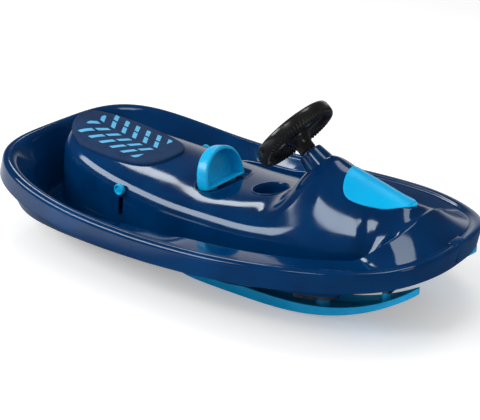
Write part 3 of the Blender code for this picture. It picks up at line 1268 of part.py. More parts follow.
def make_lever(material, cyan, steel):
    bars = []
    for side in (1, -1):
        name = "brake_lever" if side > 0 else "lever_bar"
        bars.append(upright(lever_outline(), LEVER_THICKNESS, name, side * LEVER_SPREAD,
                            collection=PARTS if side > 0 else CUTTERS))
    lever, other = bars
    width = 2 * LEVER_SPREAD + LEVER_THICKNESS
    sleeve = along_y(cylinder("lever_sleeve", LEVER_SLEEVE_RADIUS, width + LEVER_THICKNESS), AXLE)
    crossbar = move(box("crossbar", (CROSSBAR_LENGTH, width - LEVER_THICKNESS / 2, CROSSBAR_HEIGHT)), FRONT)
    bore = along_y(cylinder("lever_bore", AXLE_RADIUS + RUN_GAP, 2 * width, SMALL_STEPS), AXLE)
    cutters = [bore]
    screw_hole, rivet_hole = SCREW_RADIUS + SEAT_GAP, RIVET_RADIUS + SEAT_GAP
    for side, label in ((1, "left"), (-1, "right")):
        hole = cylinder("handle_screw_hole_" + label, screw_hole, 3 * CROSSBAR_HEIGHT, SMALL_STEPS)
        cutters.append(move(hole, (FRONT.x, side * STEM_SPREAD, FRONT.z)))
        for i, place in enumerate(rivet_places()):
            hole = cylinder(f"rivet_hole_{label}_{i}", rivet_hole, 4 * LEVER_THICKNESS, SMALL_STEPS)
            cutters.append(along_y(hole, (place.x, side * LEVER_SPREAD, place.z)))
    hole = spring_hole()
    cutters.append(along_y(cylinder("spring_hole", SPRING_WIRE + SEAT_GAP, 2 * LEVER_THICKNESS, SMALL_STEPS),
                           (hole.x, LEVER_SPREAD, hole.z)))
    cut(join(lever, other, sleeve, crossbar), *cutters)
    finish(set_origin(as_mesh(lever), AXLE), material)
    make_handle(cyan)
    under = FRONT.z - CROSSBAR_HEIGHT / 2 - SEAT_GAP
    for side, label in ((1, "left"), (-1, "right")):
        fixing = screw("handle_screw_" + label, 0, CROSSBAR_HEIGHT + SCREW_LENGTH / 2)
        place = Matrix.Translation((FRONT.x, side * STEM_SPREAD, under))
        finish(as_mesh(move(fixing, matrix=place @ Matrix.Rotation(math.pi, 4, "X"))), steel)


def handle_arch(inset, foot, steps=20):
    """Half an oval in Y and Z, set in from the handle's outer form, its foot line at the given height."""
    half, height = HANDLE_HALF_WIDTH - inset, HANDLE_HEIGHT - inset
    points = []
    for i in range(steps + 1):
        turn = math.pi * i / steps
        points.append((half * math.cos(turn), foot + (height - foot) * math.sin(turn) ** ARCH_POWER))
    return points


def make_handle(material):
    """A D-shaped handle, a rounded band round a web, hollow towards the front."""
    half_depth = HANDLE_DEPTH / 2
    rings = []
    for i in range(5):
        turn = math.pi / 2 * (i / 4)
        rings.append((HANDLE_ROUND * math.cos(turn) - HANDLE_ROUND, HANDLE_ROUND * (1 - math.sin(turn))))
    stations = [(-half_depth - x, inset) for x, inset in rings]
    stations += [(half_depth + x, inset) for x, inset in reversed(rings)]
    handle = loft("brake_handle", [[(x, y, z) for y, z in handle_arch(inset, 0.0)] for x, inset in stations])
    inner = handle_arch(HANDLE_BAND, HANDLE_FOOT_BAND)
    pocket = loft("handle_pocket", [[(x, y, z) for y, z in inner]
                                    for x in (-half_depth + HANDLE_WEB, half_depth + CUT_OVERRUN)], CUTTERS)
    cut(handle, pocket)
    place = Matrix.Translation((FRONT.x, 0, HANDLE_FOOT_Z)) @ Matrix.Rotation(-HANDLE_LEAN, 4, "Y")
    handle = move(as_mesh(handle), matrix=place)
    stem_low = FRONT.z + CROSSBAR_HEIGHT / 2 + SEAT_GAP
    stem_top = HANDLE_FOOT_Z + HANDLE_FOOT_BAND / 2
    for side, label in ((1, "left"), (-1, "right")):
        stem = box("stem_" + label, (STEM_LENGTH, STEM_WIDTH, stem_top - stem_low))
        join(handle, move(stem, (FRONT.x, side * STEM_SPREAD, (stem_top + stem_low) / 2)))
        depth = SCREW_LENGTH / 2 + 4 * SEAT_GAP
        cut(handle, move(cylinder("stem_hole_" + label, SCREW_RADIUS + SEAT_GAP, 2 * depth, SMALL_STEPS),
                         (FRONT.x, side * STEM_SPREAD, stem_low)))
    finish(set_origin(as_mesh(handle), AXLE), material)


def make_axle(steel, cyan):
    half = AXLE_CAP_SPREAD + AXLE_CAP_BORE - SEAT_GAP
    profile = ((0, half), (AXLE_RADIUS, half), (AXLE_RADIUS, -half), (0, -half))
    axle = along_y(as_mesh(turned("brake_axle", profile, SMALL_STEPS)), AXLE)
    finish(as_mesh(axle), steel)
    bore = AXLE_RADIUS + SEAT_GAP
    face = [(AXLE_CAP_RADIUS * wide, AXLE_CAP_HEIGHT * high) for wide, high in AXLE_CAP_SHARES]
    for side, label in ((1, "left"), (-1, "right")):
        cap = as_mesh(turned("axle_cap_" + label, (
            *face, (AXLE_CAP_RADIUS, 0), (bore, 0), (bore, AXLE_CAP_BORE), (0, AXLE_CAP_BORE))))
        spin = Matrix.Rotation(-side * math.pi / 2, 4, "X")
        cap = move(cap, matrix=Matrix.Translation((AXLE.x, side * AXLE_CAP_SPREAD, AXLE.z)) @ spin)
        finish(as_mesh(cap), cyan)


def make_claws(steel):
    direction = (TAIL - AXLE).normalized()
    back = [TAIL - direction * CLAW_BACK_LENGTH, TAIL + direction * CLAW_TOOTH / 2]
    normal = Vector((-direction.z, 0, direction.x)) * LEVER_DEPTH * CLAW_BACK_SHARE
    if normal.z < 0:
        normal = -normal
    tip = Vector((TAIL.x - CLAW_TIP_BEHIND, 0, CLAW_TIP_Z))
    outline = [back[0] + normal, back[1] + normal, back[1] - normal * CLAW_CORNER_SHARE]
    step = CLAW_WIDTH / CLAW_TEETH
    for i in range(CLAW_TEETH):
        foot = tip + Vector((i * step, 0, 0))
        outline += [foot, foot + Vector((step * CLAW_TOOTH_SHARE, 0, CLAW_TOOTH))]
    outline += [back[0] - normal]
    outline = [(point.x, point.z) for point in outline]
    offset = LEVER_SPREAD + LEVER_THICKNESS / 2 + SEAT_GAP + CLAW_THICKNESS / 2
    for side, label in ((1, "left"), (-1, "right")):
        holes = [[(x + place.x, z + place.z) for x, z in circle_points(0, 0, RIVET_RADIUS + SEAT_GAP)]
                 for place in rivet_places()]
        claw = upright(outline, CLAW_THICKNESS, "brake_claw_" + label, side * offset, holes)
        finish(claw, steel)
        stack = LEVER_THICKNESS + SEAT_GAP + CLAW_THICKNESS
        for i, place in enumerate(rivet_places()):
            half = stack / 2 + SEAT_GAP
            top, flat = half + RIVET_HEAD_HEIGHT, RIVET_HEAD_RADIUS * HEAD_TOP_SHARE
            rivet = as_mesh(turned(f"claw_rivet_{2 * i + (1 if side > 0 else 2)}", (
                (0, top), (flat, top), (RIVET_HEAD_RADIUS, half), (RIVET_RADIUS, half), (RIVET_RADIUS, -half),
                (RIVET_HEAD_RADIUS, -half), (flat, -top), (0, -top)), SMALL_STEPS))
            middle = side * (LEVER_SPREAD - LEVER_THICKNESS / 2 + stack / 2)
            finish(as_mesh(along_y(rivet, (place.x, middle, place.z))), steel)


def spring_path():
    """Centre line of the brake's torsion spring: a leg in the lever, the coil, a leg under the hump."""
    hole = spring_hole()
    points = [Vector((hole.x, y, hole.z)) for y in (LEVER_SPREAD - LEVER_THICKNESS / 2, SPRING_START)]
    start = math.atan2(hole.z - AXLE.z, hole.x - AXLE.x) - math.acos(SPRING_RADIUS / (hole - AXLE).length)
    turns = SPRING_TURNS
    steps = 9 * turns
    for i in range(steps + 1):
        turn = start - 2 * math.pi * turns * i / steps
        y = SPRING_START + SPRING_PITCH * turns * i / steps
        around = Vector((math.cos(turn), 0, math.sin(turn))) * SPRING_RADIUS
        points.append(Vector((AXLE.x, y, AXLE.z)) + around)
    end = points[-1]
    tangent = (points[-1] - points[-2]).normalized()
    rest_x = end.x + tangent.x * SPRING_LEG
    points.append(Vector((rest_x, end.y + SPRING_PITCH / 2, end.z + tangent.z * SPRING_LEG)))
    return points


def make_spring(material):
    points = spring_path()
    curve = bpy.data.curves.new("brake_spring", "CURVE")
    curve.dimensions = "3D"
    curve.bevel_depth = SPRING_WIRE
    curve.bevel_resolution = 1
    curve.use_fill_caps = True
    spline = curve.splines.new("POLY")
    spline.points.add(len(points) - 1)
    for point, place in zip(spline.points, points):
        point.co = (*place, 1.0)
    obj = place_in(bpy.data.objects.new("brake_spring", curve), PARTS)
    finish(as_mesh(obj), material)
    path = np.array([tuple(point) for point in points])
    apart = np.linalg.norm(path[:, None] - path[None, :], axis=2)
    index = np.arange(len(path))
    apart[np.abs(index[:, None] - index[None, :]) < 5] = 1.0
    print(f"spring: least gap between its own turns {1000 * (apart.min() - 2 * SPRING_WIRE):.2f} mm")


BLUE = make_material("moulded_blue", (0.003, 0.024, 0.090), 0.18)
CYAN = make_material("moulded_cyan", (0.0, 0.36, 0.80), 0.35)
BLACK = make_material("moulded_black", (0.02, 0.02, 0.02), 0.5)
STEEL = make_material("zinc_steel", (0.55, 0.56, 0.58), 0.35, 1.0)
FOAM = make_material("pad_foam", (0.03, 0.06, 0.12), 0.85)

make_hull(BLUE)
follow_hull("seat_pad", pad_outline(), PAD_THICKNESS, ridge_height(PAD_REAR_X), FOAM)
follow_hull("nose_inlay", inlay_outline(), INLAY_THICKNESS, ridge_height(INLAY_REAR_X), CYAN)
WHEEL, WEB_TOP, COLUMN_TOP = make_wheel(BLACK)
make_column(WEB_TOP, COLUMN_TOP, STEEL, BLACK)
make_crank(STEEL)
make_tie_bar(STEEL)
for ski_side in (1, -1):
    make_ski(ski_side, CYAN, STEEL)
make_carrier(STEEL, BLACK)
make_lever(BLACK, CYAN, STEEL)
make_axle(STEEL, CYAN)
make_claws(STEEL)
make_spring(STEEL)
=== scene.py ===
from math import copysign, cos, exp, pi, radians, sin

import bmesh
import bpy
import numpy as np
from mathutils import Matrix, Vector


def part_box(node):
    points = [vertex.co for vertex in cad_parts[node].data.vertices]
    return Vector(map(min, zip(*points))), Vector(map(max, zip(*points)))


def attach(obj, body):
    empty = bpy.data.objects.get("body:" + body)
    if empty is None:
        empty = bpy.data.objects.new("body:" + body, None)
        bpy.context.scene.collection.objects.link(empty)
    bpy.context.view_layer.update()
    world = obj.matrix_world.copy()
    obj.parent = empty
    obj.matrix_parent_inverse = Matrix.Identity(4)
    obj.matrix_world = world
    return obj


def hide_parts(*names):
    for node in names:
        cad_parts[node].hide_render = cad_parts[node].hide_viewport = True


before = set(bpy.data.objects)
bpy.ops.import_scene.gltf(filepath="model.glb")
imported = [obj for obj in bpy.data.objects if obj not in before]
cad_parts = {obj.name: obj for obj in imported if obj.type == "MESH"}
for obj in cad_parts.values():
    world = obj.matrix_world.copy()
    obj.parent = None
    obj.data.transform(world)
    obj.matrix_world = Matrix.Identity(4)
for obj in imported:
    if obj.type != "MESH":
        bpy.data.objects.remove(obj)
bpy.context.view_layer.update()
hullLow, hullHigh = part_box("hull_shell")
print("frame loaded:", len(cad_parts), "nodes")


# small tools for meshes

quarterSteps = np.linspace(0, pi / 2, 7)
moveTo = Matrix.Translation
join = np.concatenate


def smoothStep(value, start, end):
    t = np.clip((value - start) / (end - start), 0.0, 1.0)
    return t * t * (3 - 2 * t)


def columns(*parts):
    return np.stack(parts, 1)


def mix(a, b, share):
    return (1 - share) * a + share * b


def signedPower(value, power):
    return np.sign(value) * np.abs(value) ** power


def leaning(x, z, angle):
    # a place on the middle plane whose z axis leans back
    return moveTo((x, 0, z)) @ Matrix.Rotation(-angle, 4, "Y")


def setFields(owner, **fields):
    for key, value in fields.items():
        setattr(owner, key, value)
    return owner


def newObject(name, data):
    item = bpy.data.objects.new(name, data)
    bpy.context.scene.collection.objects.link(item)
    return item


def mergedPiece(name, mesh, closed):
    # doubled points are merged, and the faces of a closed shape look out
    shape = bmesh.new()
    shape.from_mesh(mesh)
    bmesh.ops.remove_doubles(shape, verts=shape.verts, dist=1e-6)
    bmesh.ops.recalc_face_normals(shape, faces=shape.faces)
    if closed and shape.calc_volume(signed=True) < 0:
        bmesh.ops.reverse_faces(shape, faces=shape.faces)
    shape.to_mesh(mesh)
    shape.free()
    return newObject(name, mesh)


def meshPiece(name, points, faces, closed=True):
    mesh = bpy.data.meshes.new(name)
    mesh.from_pydata([tuple(map(float, p)) for p in points], [], [tuple(map(int, f)) for f in faces])
    mesh.validate()
    return mergedPiece(name, mesh, closed)


def boxPiece(name, size, centre, bevel=0.0):
    shape = bmesh.new()
    bmesh.ops.create_cube(shape, size=1.0, matrix=moveTo(centre) @ Matrix.Diagonal((*size, 1)))
    if bevel:
        bmesh.ops.bevel(shape, geom=shape.edges[:], offset=bevel, segments=5, affect="EDGES", profile=0.5)
    mesh = bpy.data.meshes.new(name)
    shape.to_mesh(mesh)
    shape.free()
    return newObject(name, mesh)


def bakeShape(piece):
    bpy.context.view_layer.update()
    graph = bpy.context.evaluated_depsgraph_get()
    mesh = bpy.data.meshes.new_from_object(piece.evaluated_get(graph), depsgraph=graph)
    piece.modifiers.clear()
    old = piece.data
    piece.data = mesh
    bpy.data.meshes.remove(old)
    return piece


def smoothPiece(piece, angle=38):
    piece.data.shade_smooth()
    piece.data.set_sharp_from_angle(angle=radians(angle))
    return piece


def carve(piece, cutters, operation="DIFFERENCE"):
    for cutter in cutters:
        setFields(piece.modifiers.new(cutter.name, "BOOLEAN"), operation=operation, solver="EXACT", object=cutter)
    bakeShape(piece)
    for cutter in cutters:
        bpy.data.objects.remove(cutter, do_unlink=True)
    return piece


def thicken(sheet, thickness):
    # the wall of an open sheet grows downwards
    if sum(p.normal.z * p.area for p in sheet.data.polygons) < 0:
        sheet.data.flip_normals()
    setFields(sheet.modifiers.new("wall", "SOLIDIFY"), thickness=thickness, offset=-1.0, use_even_offset=True)
    return bakeShape(sheet)


def place(piece, matrix):
    piece.data.transform(matrix)
    if matrix.to_3x3().determinant() < 0:
        piece.data.flip_normals()
    return piece


def turnedPiece(name, profile, steps=96):
    # profile: (radius, height) from the top, down the outer side; a ring of no radius merges into one point
    turns = [2 * pi * i / steps for i in range(steps)]
    rings = [[(radius * cos(turn), radius * sin(turn), height) for turn in turns]
             for radius, height in profile]
    return loftPiece(name, rings, capEnds=False)


def cylinderPiece(name, radius, length, matrix, steps=96):
    half = length / 2
    return place(turnedPiece(name, [(0, half), (radius, half), (radius, -half), (0, -half)], steps), matrix)


def cornerCurve(a, corner, b, steps):
    return [(1 - t) ** 2 * a + 2 * t * (1 - t) * corner + t * t * b for t in np.arange(steps + 1) / steps]


def roundProfile(corners, radius, steps=5, closed=False):
    # rounds the corners of a line of (a, b) points, each with its own or the shared radius
    result = []
    count = len(corners)
    for i, corner in enumerate(corners):
        point = np.array(corner[:2], float)
        own = corner[2] if len(corner) > 2 else radius
        if own <= 0 or (not closed and i in (0, count - 1)):
            result.append(tuple(point))
            continue
        before = np.array(corners[i - 1][:2], float) - point
        after = np.array(corners[(i + 1) % count][:2], float) - point
        lengths = np.linalg.norm(before), np.linalg.norm(after)
        reach = min(own, 0.48 * lengths[0], 0.48 * lengths[1])
        a, b = (point + side / max(length, 1e-9) * reach for side, length in zip((before, after), lengths))
        result += [tuple(p) for p in cornerCurve(a, point, b, steps)]
    return result


def loftPiece(name, rings, capEnds=True, closed=True):
    count = len(rings[0])
    points = [p for ring in rings for p in ring]
    faces = []
    for i in range(len(rings) - 1):
        for j in range(count):
            k = (j + 1) % count
            faces.append((i * count + j, i * count + k, (i + 1) * count + k, (i + 1) * count + j))
    if capEnds:
        faces.append(tuple(range(count)))
        faces.append(tuple(len(points) - count + i for i in range(count)))
    return meshPiece(name, points, faces, closed)


def levelRing(outline, z):
    return [(x, y, z) for x, y in outline]


def drawnIn(outline, middle, share):
    return middle + (outline - middle) * share


def ovalPoints(x, y, halfX, halfY, power=2.6, steps=120):
    turn = 2 * pi * (np.arange(steps) + 0.5) / steps
    return columns(x + halfX * signedPower(np.cos(turn), 2 / power), y + halfY * signedPower(np.sin(turn), 2 / power))


def insetOutline(outline, distance):
    # moves an outline's points in by a distance, along its own normals
    tangent = np.roll(outline, -1, 0) - np.roll(outline, 1, 0)
    tangent /= np.maximum(np.linalg.norm(tangent, axis=1, keepdims=True), 1e-9)
    return outline + columns(-tangent[:, 1], tangent[:, 0]) * distance


def evenLoop(outline, count):
    closed = join([outline, outline[:1]])
    reach = join([[0], np.cumsum(np.linalg.norm(np.diff(closed, axis=0), axis=1))])
    places = np.linspace(0, reach[-1], count, endpoint=False)
    return columns(*(np.interp(places, reach, closed[:, k]) for k in (0, 1)))


def counterClockwise(outline):
    area = np.sum(outline[:, 0] * np.roll(outline[:, 1], -1) - np.roll(outline[:, 0], -1) * outline[:, 1])
    return outline if area > 0 else outline[::-1]


# the hull's sheet: the same rails as the frame's hull, read far more finely and with rounded corners

hull = dict(
    widestSetback=0.055, rimRoundDrop=0.004, lipDrop=0.040, bilgeHeight=0.018, wellEnd=0.055, wellEndGap=0.007,
    shoulderWidth=0.012, shoulderDrop=0.020, deckPower=2.6, wall=0.0035, rearSteps=56, noseSteps=96, roundSteps=5,
    topRows=16)
# lowest height, rise, softening in 400ths, then pairs of (share of the hull's length, share of the rise);
# "ledge" is a drop under the rim, and "crown" is the power of the crown's fall
heights = {
    "rim": (0.1265, 0.058, 9, (
        (0, 1), (0.074, 0.76), (0.196, 0.36), (0.318, 0.10), (0.449, 0), (0.581, 0.06), (0.703, 0.18),
        (0.824, 0.32), (0.926, 0.41), (1, 0.655))),
    "ridge": (0.1555, 0.106, 3, (
        (0, 0.53), (0.085, 0.53), (0.166, 0.325), (0.257, 0.19), (0.338, 0.11), (0.399, 0.06), (0.47, 0),
        (0.551, 0.04), (0.601, 0.09), (0.627, 0.127), (0.652, 0.325), (0.672, 0.627), (0.693, 0.863), (0.711, 0.985),
        (0.728, 1), (0.762, 0.882), (0.824, 0.712), (0.903, 0.486), (0.946, 0.344), (1, 0.09))),
    "foot": (0.040, 0.079, 9, (
        (0, 0), (0.054, 0.025), (0.196, 0.10), (0.399, 0.114), (0.5, 0.165), (0.551, 0.253), (0.652, 0.291),
        (0.753, 0.43), (0.855, 0.532), (0.905, 0.696), (0.946, 0.924), (1, 1))),
    "ledge": (0.006, 0.039, 5, (
        (0, 1), (0.297, 1), (0.368, 0.41), (0.449, 0.18), (0.5, 0.18), (0.535, 0), (1, 0))),
    "floor": (0.050, 0.012, 4, (
        (0, 0.83), (0.064, 0.5), (0.135, 0), (0.622, 0), (0.728, 1), (0.819, 1), (0.857, 2.42), (1, 3.33))),
    "shoulder": (0.142, 0.048, 9, (
        (0, 1), (0.095, 1), (0.196, 0.583), (0.318, 0.271), (0.48, 0), (0.601, 0), (0.703, 0.188),
        (0.804, 0.167), (0.865, 0.375), (1, 0.479))),
    "crown": (0, 1, 6, ((0, 3.0), (0.55, 3.0), (0.68, 1.55), (0.80, 1.6), (1, 1.8))),
}
halfLength = (hullHigh.x - hullLow.x) / 2
halfWidth = (hullHigh.y - hullLow.y) / 2
widestX = -hull["widestSetback"]
curveSteps = 400


def curveThrough(pairs, position):
    # a smooth curve through the pairs that doesn't overshoot them
    places, values = np.array(pairs, float).T
    slopes = np.diff(values) / np.diff(places)
    product = slopes[:-1] * slopes[1:]
    inner = np.where(product > 0, 2 * product / (slopes[:-1] + slopes[1:] + 1e-12), 0.0)
    tangents = join([[slopes[0]], inner, [slopes[-1]]])
    i = np.clip(np.searchsorted(places, position) - 1, 0, len(places) - 2)
    width = places[i + 1] - places[i]
    t = (position - places[i]) / width
    return (values[i] * (1 + 2 * t) * (1 - t) ** 2 + values[i + 1] * t * t * (3 - 2 * t)
            + tangents[i] * width * t * (1 - t) ** 2 - tangents[i + 1] * width * t * t * (1 - t))


def softCurve(pairs, sigma):
    # the same curve, sampled and blurred a little, so that the gloss runs over it without kinks
    places = np.linspace(0, 1, curveSteps + 1)
    values = curveThrough(pairs, places)
    reach = 4 * sigma
    kernel = np.exp(-0.5 * (np.arange(-reach, reach + 1) / sigma) ** 2)
    kernel /= kernel.sum()
    before = 2 * values[0] - values[reach:0:-1]
    after = 2 * values[-1] - values[-2:-reach - 2:-1]
    return places, np.convolve(join([before, values, after]), kernel, "valid")


heightCurves = {name: softCurve(pairs, softening) for name, (_, _, softening, pairs) in heights.items()}


def heightAt(name, x):
    lowest, rise = heights[name][:2]
    return lowest + rise * np.interp((np.asarray(x, float) + halfLength) / (2 * halfLength), *heightCurves[name])


# rear end, nose end, half width, rear power, nose power and rounding; the first three are stated as gaps to the
# hull's rear end, nose end and side
rails = {name: (rear - halfLength, halfLength - nose, halfWidth - side, *rest)
         for name, (rear, nose, side, *rest) in {
    "foot": (0.038, 0.030, 0.058, 3.6, 2.4, 0), "bilge": (0.0273333, 0.016, 0.032, 3.7, 2.45, 0.022),
    "bodyTop": (0.022, 0.010, 0.006, 3.75, 2.5, 0.0035), "lip": (0, 0.004, 0, 3.75, 2.5, 0.0025),
    "rimOut": (0.0075, 0, 0.0075, 3.75, 2.7, 0.006), "rimTopOut": (0.0135, 0.006, 0.0135, 3.75, 2.7, 0.006),
    "rimTopIn": (0.0225, 0.015, 0.0225, 3.75, 2.7, 0.006), "ledgeOut": (0.0285, 0.021, 0.0285, 3.7, 2.7, 0.005),
    "ledgeIn": (0.0405, 0.076, 0.0705, 3.4, 2.7, 0.004), "floorOut": (0.0525, 0.083, 0.0775, 3.2, 2.7, 0.009),
    "floorIn": (0.0675, 0.090, 0.1315, 2.9, 3.0, 0.009), "sideTop": (0.0745, 0.097, 0.1405, 2.7, 3.0, 0.010),
    "shoulder": (0.0835, 0.104, 0.1525, 2.6, 3.0, 0.014),
}.items()}


def railWidth(name, x):
    rear, nose, half, rearPower, nosePower, _ = rails[name]
    x = np.asarray(x, float)
    end = np.where(x < widestX, rear, nose)
    power = np.where(x < widestX, rearPower, nosePower)
    share = np.clip(np.abs(x - widestX) / np.abs(end - widestX), 0, 1)
    return half * (1 - share ** power) ** (1 / power)


def railRearX(name, y):
    rear, _, half, power, _, _ = rails[name]
    return widestX - (widestX - rear) * (1 - (y / half) ** power) ** (1 / power)


def railPoints(name):
    rear, nose, half, rearPower, nosePower, _ = rails[name]
    rearTurn = np.linspace(0, pi / 2, hull["rearSteps"], endpoint=False)
    noseTurn = np.linspace(pi / 2, 0, hull["noseSteps"] + 1)
    x, y = [], []
    for end, power, turn in ((rear, rearPower, rearTurn), (nose, nosePower, noseTurn)):
        x.append(widestX + (end - widestX) * np.maximum(np.cos(turn), 0) ** (2 / power))
        y.append(half * np.maximum(np.sin(turn), 0) ** (2 / power))
    return join(x), join(y)


def deckShare(x):
    tip = rails["floorIn"][1]
    return smoothStep(x, tip - hull["wellEnd"], tip - hull["wellEndGap"])


def shareAcross(name, x, y):
    return np.clip(np.abs(y) / np.maximum(railWidth(name, x), 1e-3), 0, 1)


def deckHeight(x, y):
    rim = heightAt("rim", x)
    fall = np.cos(pi / 2 * shareAcross("rimTopOut", x, y)) ** hull["deckPower"]
    return rim + (heightAt("ridge", x) - rim) * fall


def shoulderHeight(x, y):
    return mix(heightAt("shoulder", x), deckHeight(x, y), deckShare(x))


def crownHeight(x, y):
    ridge = heightAt("ridge", x)
    drop = ridge - shoulderHeight(x, railWidth("shoulder", x))
    return ridge - drop * shareAcross("shoulder", x, y) ** heightAt("crown", x)


def crownAt(x, y=0.0):
    return float(crownHeight(x, y))


def crownRing(outline, up):
    # an outline laid over the crown
    return [(x, y, crownAt(x, y) + up) for x, y in outline]


def railHeights(name, x, y):
    rim, foot, deck, shoulder = heightAt("rim", x), heightAt("foot", x), deckShare(x), shoulderHeight(x, y)
    lip, rimEdge = rim - hull["lipDrop"], rim - hull["rimRoundDrop"]
    ledge = mix(rim - heightAt("ledge", x), deckHeight(x, y), deck)
    floor = mix(heightAt("floor", x), deckHeight(x, y), deck)
    return dict(
        foot=foot, bilge=foot + np.minimum(hull["bilgeHeight"], (lip - foot) / 2), bodyTop=lip, lip=lip,
        rimOut=rimEdge, rimTopOut=rim, rimTopIn=rim, ledgeOut=rimEdge, ledgeIn=ledge, floorOut=floor, floorIn=floor,
        sideTop=shoulder - (1 - deck) * hull["shoulderDrop"], shoulder=shoulder)[name]


def topRows():
    # rows inside the shoulder, drawn in towards the ridge
    x, y = railPoints("shoulder")
    rear, nose, half = rails["shoulder"][:3]
    middle, reach = (rear + nose) / 2, (nose - rear) / 2
    rows = []
    for share in np.linspace(1, 0, hull["topRows"] + 1)[1:]:
        rowX = middle + (x - middle) * (1 - (1 - share) * half / reach)
        rows.append(columns(rowX, y * share, crownHeight(rowX, y * share)))
    return rows


def roundedRows():
    # every column's line over the rails, its corners rounded alike, so the rows match
    corners = []
    for name in rails:
        x, y = railPoints(name)
        corners.append(columns(x, y, railHeights(name, x, y)))
    inside = topRows()
    corners.append(inside[1])
    rows = corners[:1]
    for i, name in list(enumerate(rails))[1:]:
        ends = []
        for neighbour in (corners[i - 1], corners[i + 1]):
            towards = neighbour - corners[i]
            length = np.maximum(np.linalg.norm(towards, axis=1, keepdims=True), 1e-9)
            ends.append(corners[i] + towards * np.minimum(rails[name][5] / length, 0.48))
        if name in ("sideTop", "floorIn", "floorOut", "bilge", "rimOut"):
            rows.append((ends[0] + rows[-1]) / 2)
        rows += cornerCurve(ends[0], corners[i], ends[1], hull["roundSteps"])
        if name == "ledgeOut":
            firstInner = len(rows)
    return relaxNose(np.array(rows + inside[2:]), firstInner)


noseEase = dict(
    startX=0.325, fullX=0.375, ledgeKeep=0.0, ledgeFull=0.014, inlayKeep=0.001, inlayFull=0.016,
    rounds=160, pull=0.7)


def relaxNose(rows, firstInner):
    # between the ledges the wells' front ends are drawn even, but for the inlay's bed
    n = noseEase
    x, y = rows[..., 0], rows[..., 1]
    share = smoothStep(x, n["startX"], n["fullX"])
    share *= smoothStep(railWidth("ledgeIn", x) - y, n["ledgeKeep"], n["ledgeFull"])
    share[:firstInner] = 0
    outline = inlayOutline()
    bedX, bedHalf = outline[:len(outline) // 2 + 1].T  # from the rear edge to the tip
    for i, j in np.argwhere(share > 0):
        gap = np.min(np.hypot(outline[:, 0] - x[i, j], outline[:, 1] - y[i, j]))
        onBed = y[i, j] < np.interp(x[i, j], bedX, bedHalf)
        share[i, j] *= 0 if onBed else smoothStep(gap, n["inlayKeep"], n["inlayFull"])
    mirror = np.array([1, -1, 1])
    for _ in range(n["rounds"]):
        below = join([rows[1:], rows[-2:-1] * mirror])
        above = join([rows[:1], rows[:-1]])
        ahead = join([rows[:, 1:], rows[:, -2:-1] * mirror], 1)
        behind = join([rows[:, :1], rows[:, :-1]], 1)
        rows = rows + n["pull"] * share[..., None] * ((below + above + ahead + behind) / 4 - rows)
    return rows


def hullSheet():
    rows = roundedRows()
    rowCount, columnCount = rows.shape[:2]
    left = rows.reshape(-1, 3)
    points = join([left, left * (1, -1, 1)])
    faces = []
    for i in range(rowCount - 1):
        for j in range(columnCount - 1):
            a, b = i * columnCount + j, (i + 1) * columnCount + j
            faces.append((a, a + 1, b + 1, b))
            a, b = a + len(left), b + len(left)
            faces.append((a, b, b + 1, a + 1))
    for offset in (0, columnCount - 1):  # both ends lie on the middle plane
        points[offset:len(left):columnCount, 1] = 0
        points[len(left) + offset::columnCount, 1] = 0
    return points, faces


# what is moulded into the hull: the column's collar, the handle's tray, the cup, the axle's slots and the keels

column = dict(
    tilt=radians(50), centreX=0.136, centreZ=0.2845, collarBelow=0.044, collarLength=0.040,
    collarRadius=0.024, collarFoot=0.031, bore=0.0114, boreCut=0.2, reliefRadius=0.0205, reliefDepth=0.026,
    reliefCut=0.1)
columnMatrix = leaning(column["centreX"], column["centreZ"], column["tilt"])
# "lip" is the line of the tray's lip: inset and rise
tray = dict(
    x=-0.030, length=0.068, width=0.150, depth=0.011, lipRound=0.003, lipDepth=0.0035, wallDraft=0.0012,
    floorRound=0.003, slotLength=0.024, slotWidth=0.028, slotX=-0.036, slotSpread=0.030, slotPower=6.0, slotCut=0.008,
    wall=0.003, cutAbove=0.02, cutBelow=0.03, lip=((-0.0035, -0.0001), (-0.0021, 0.0006), (0.0, 0.0008),
    (0.0012, 0.0001), (0.0024, -0.0015), (0.003, -0.0035)))
trayOutline = ovalPoints(tray["x"], 0, tray["length"] / 2, tray["width"] / 2)
cup = dict(
    x=0.083, radius=0.034, gap=0.001, draft=0.005, depth=0.048, tilt=radians(6.5), flange=0.0045,
    ring=0.0014, wall=0.003, cut=0.05)
cupMatrix = leaning(cup["x"], crownAt(cup["x"]), cup["tilt"])
axle = dict(x=-0.184048, z=0.139, slotWidth=0.012, slotTop=0.122, slotLength=0.038, slotCut=0.04, spread=0.1325)


def makeHull():
    shell = thicken(meshPiece("hullShell", *hullSheet(), closed=False), hull["wall"])
    level = crownAt(tray["x"])
    cutters = [
        loftPiece("trayHole", [levelRing(trayOutline, level + z) for z in (tray["cutAbove"], -tray["cutBelow"])]),
        cylinderPiece("cupHole", cup["radius"] + cup["gap"], cup["cut"], cupMatrix)]
    reliefTop = column["collarBelow"] + column["collarLength"] - column["reliefDepth"]
    for name, radius, top, length in (
            ("collarHole", column["bore"], column["collarBelow"], column["boreCut"]),
            ("reliefHole", column["reliefRadius"], reliefTop, column["reliefCut"])):
        cutters.append(cylinderPiece(name, radius, length, columnMatrix @ moveTo((0, 0, -top - length / 2))))
    for side in (1, -1):
        cutters.append(boxPiece("axleSlot", (axle["slotWidth"], axle["slotCut"], axle["slotLength"]),
                                (axle["x"], side * axle["spread"], axle["slotTop"] - axle["slotLength"] / 2)))
    return smoothPiece(carve(shell, cutters), 50)


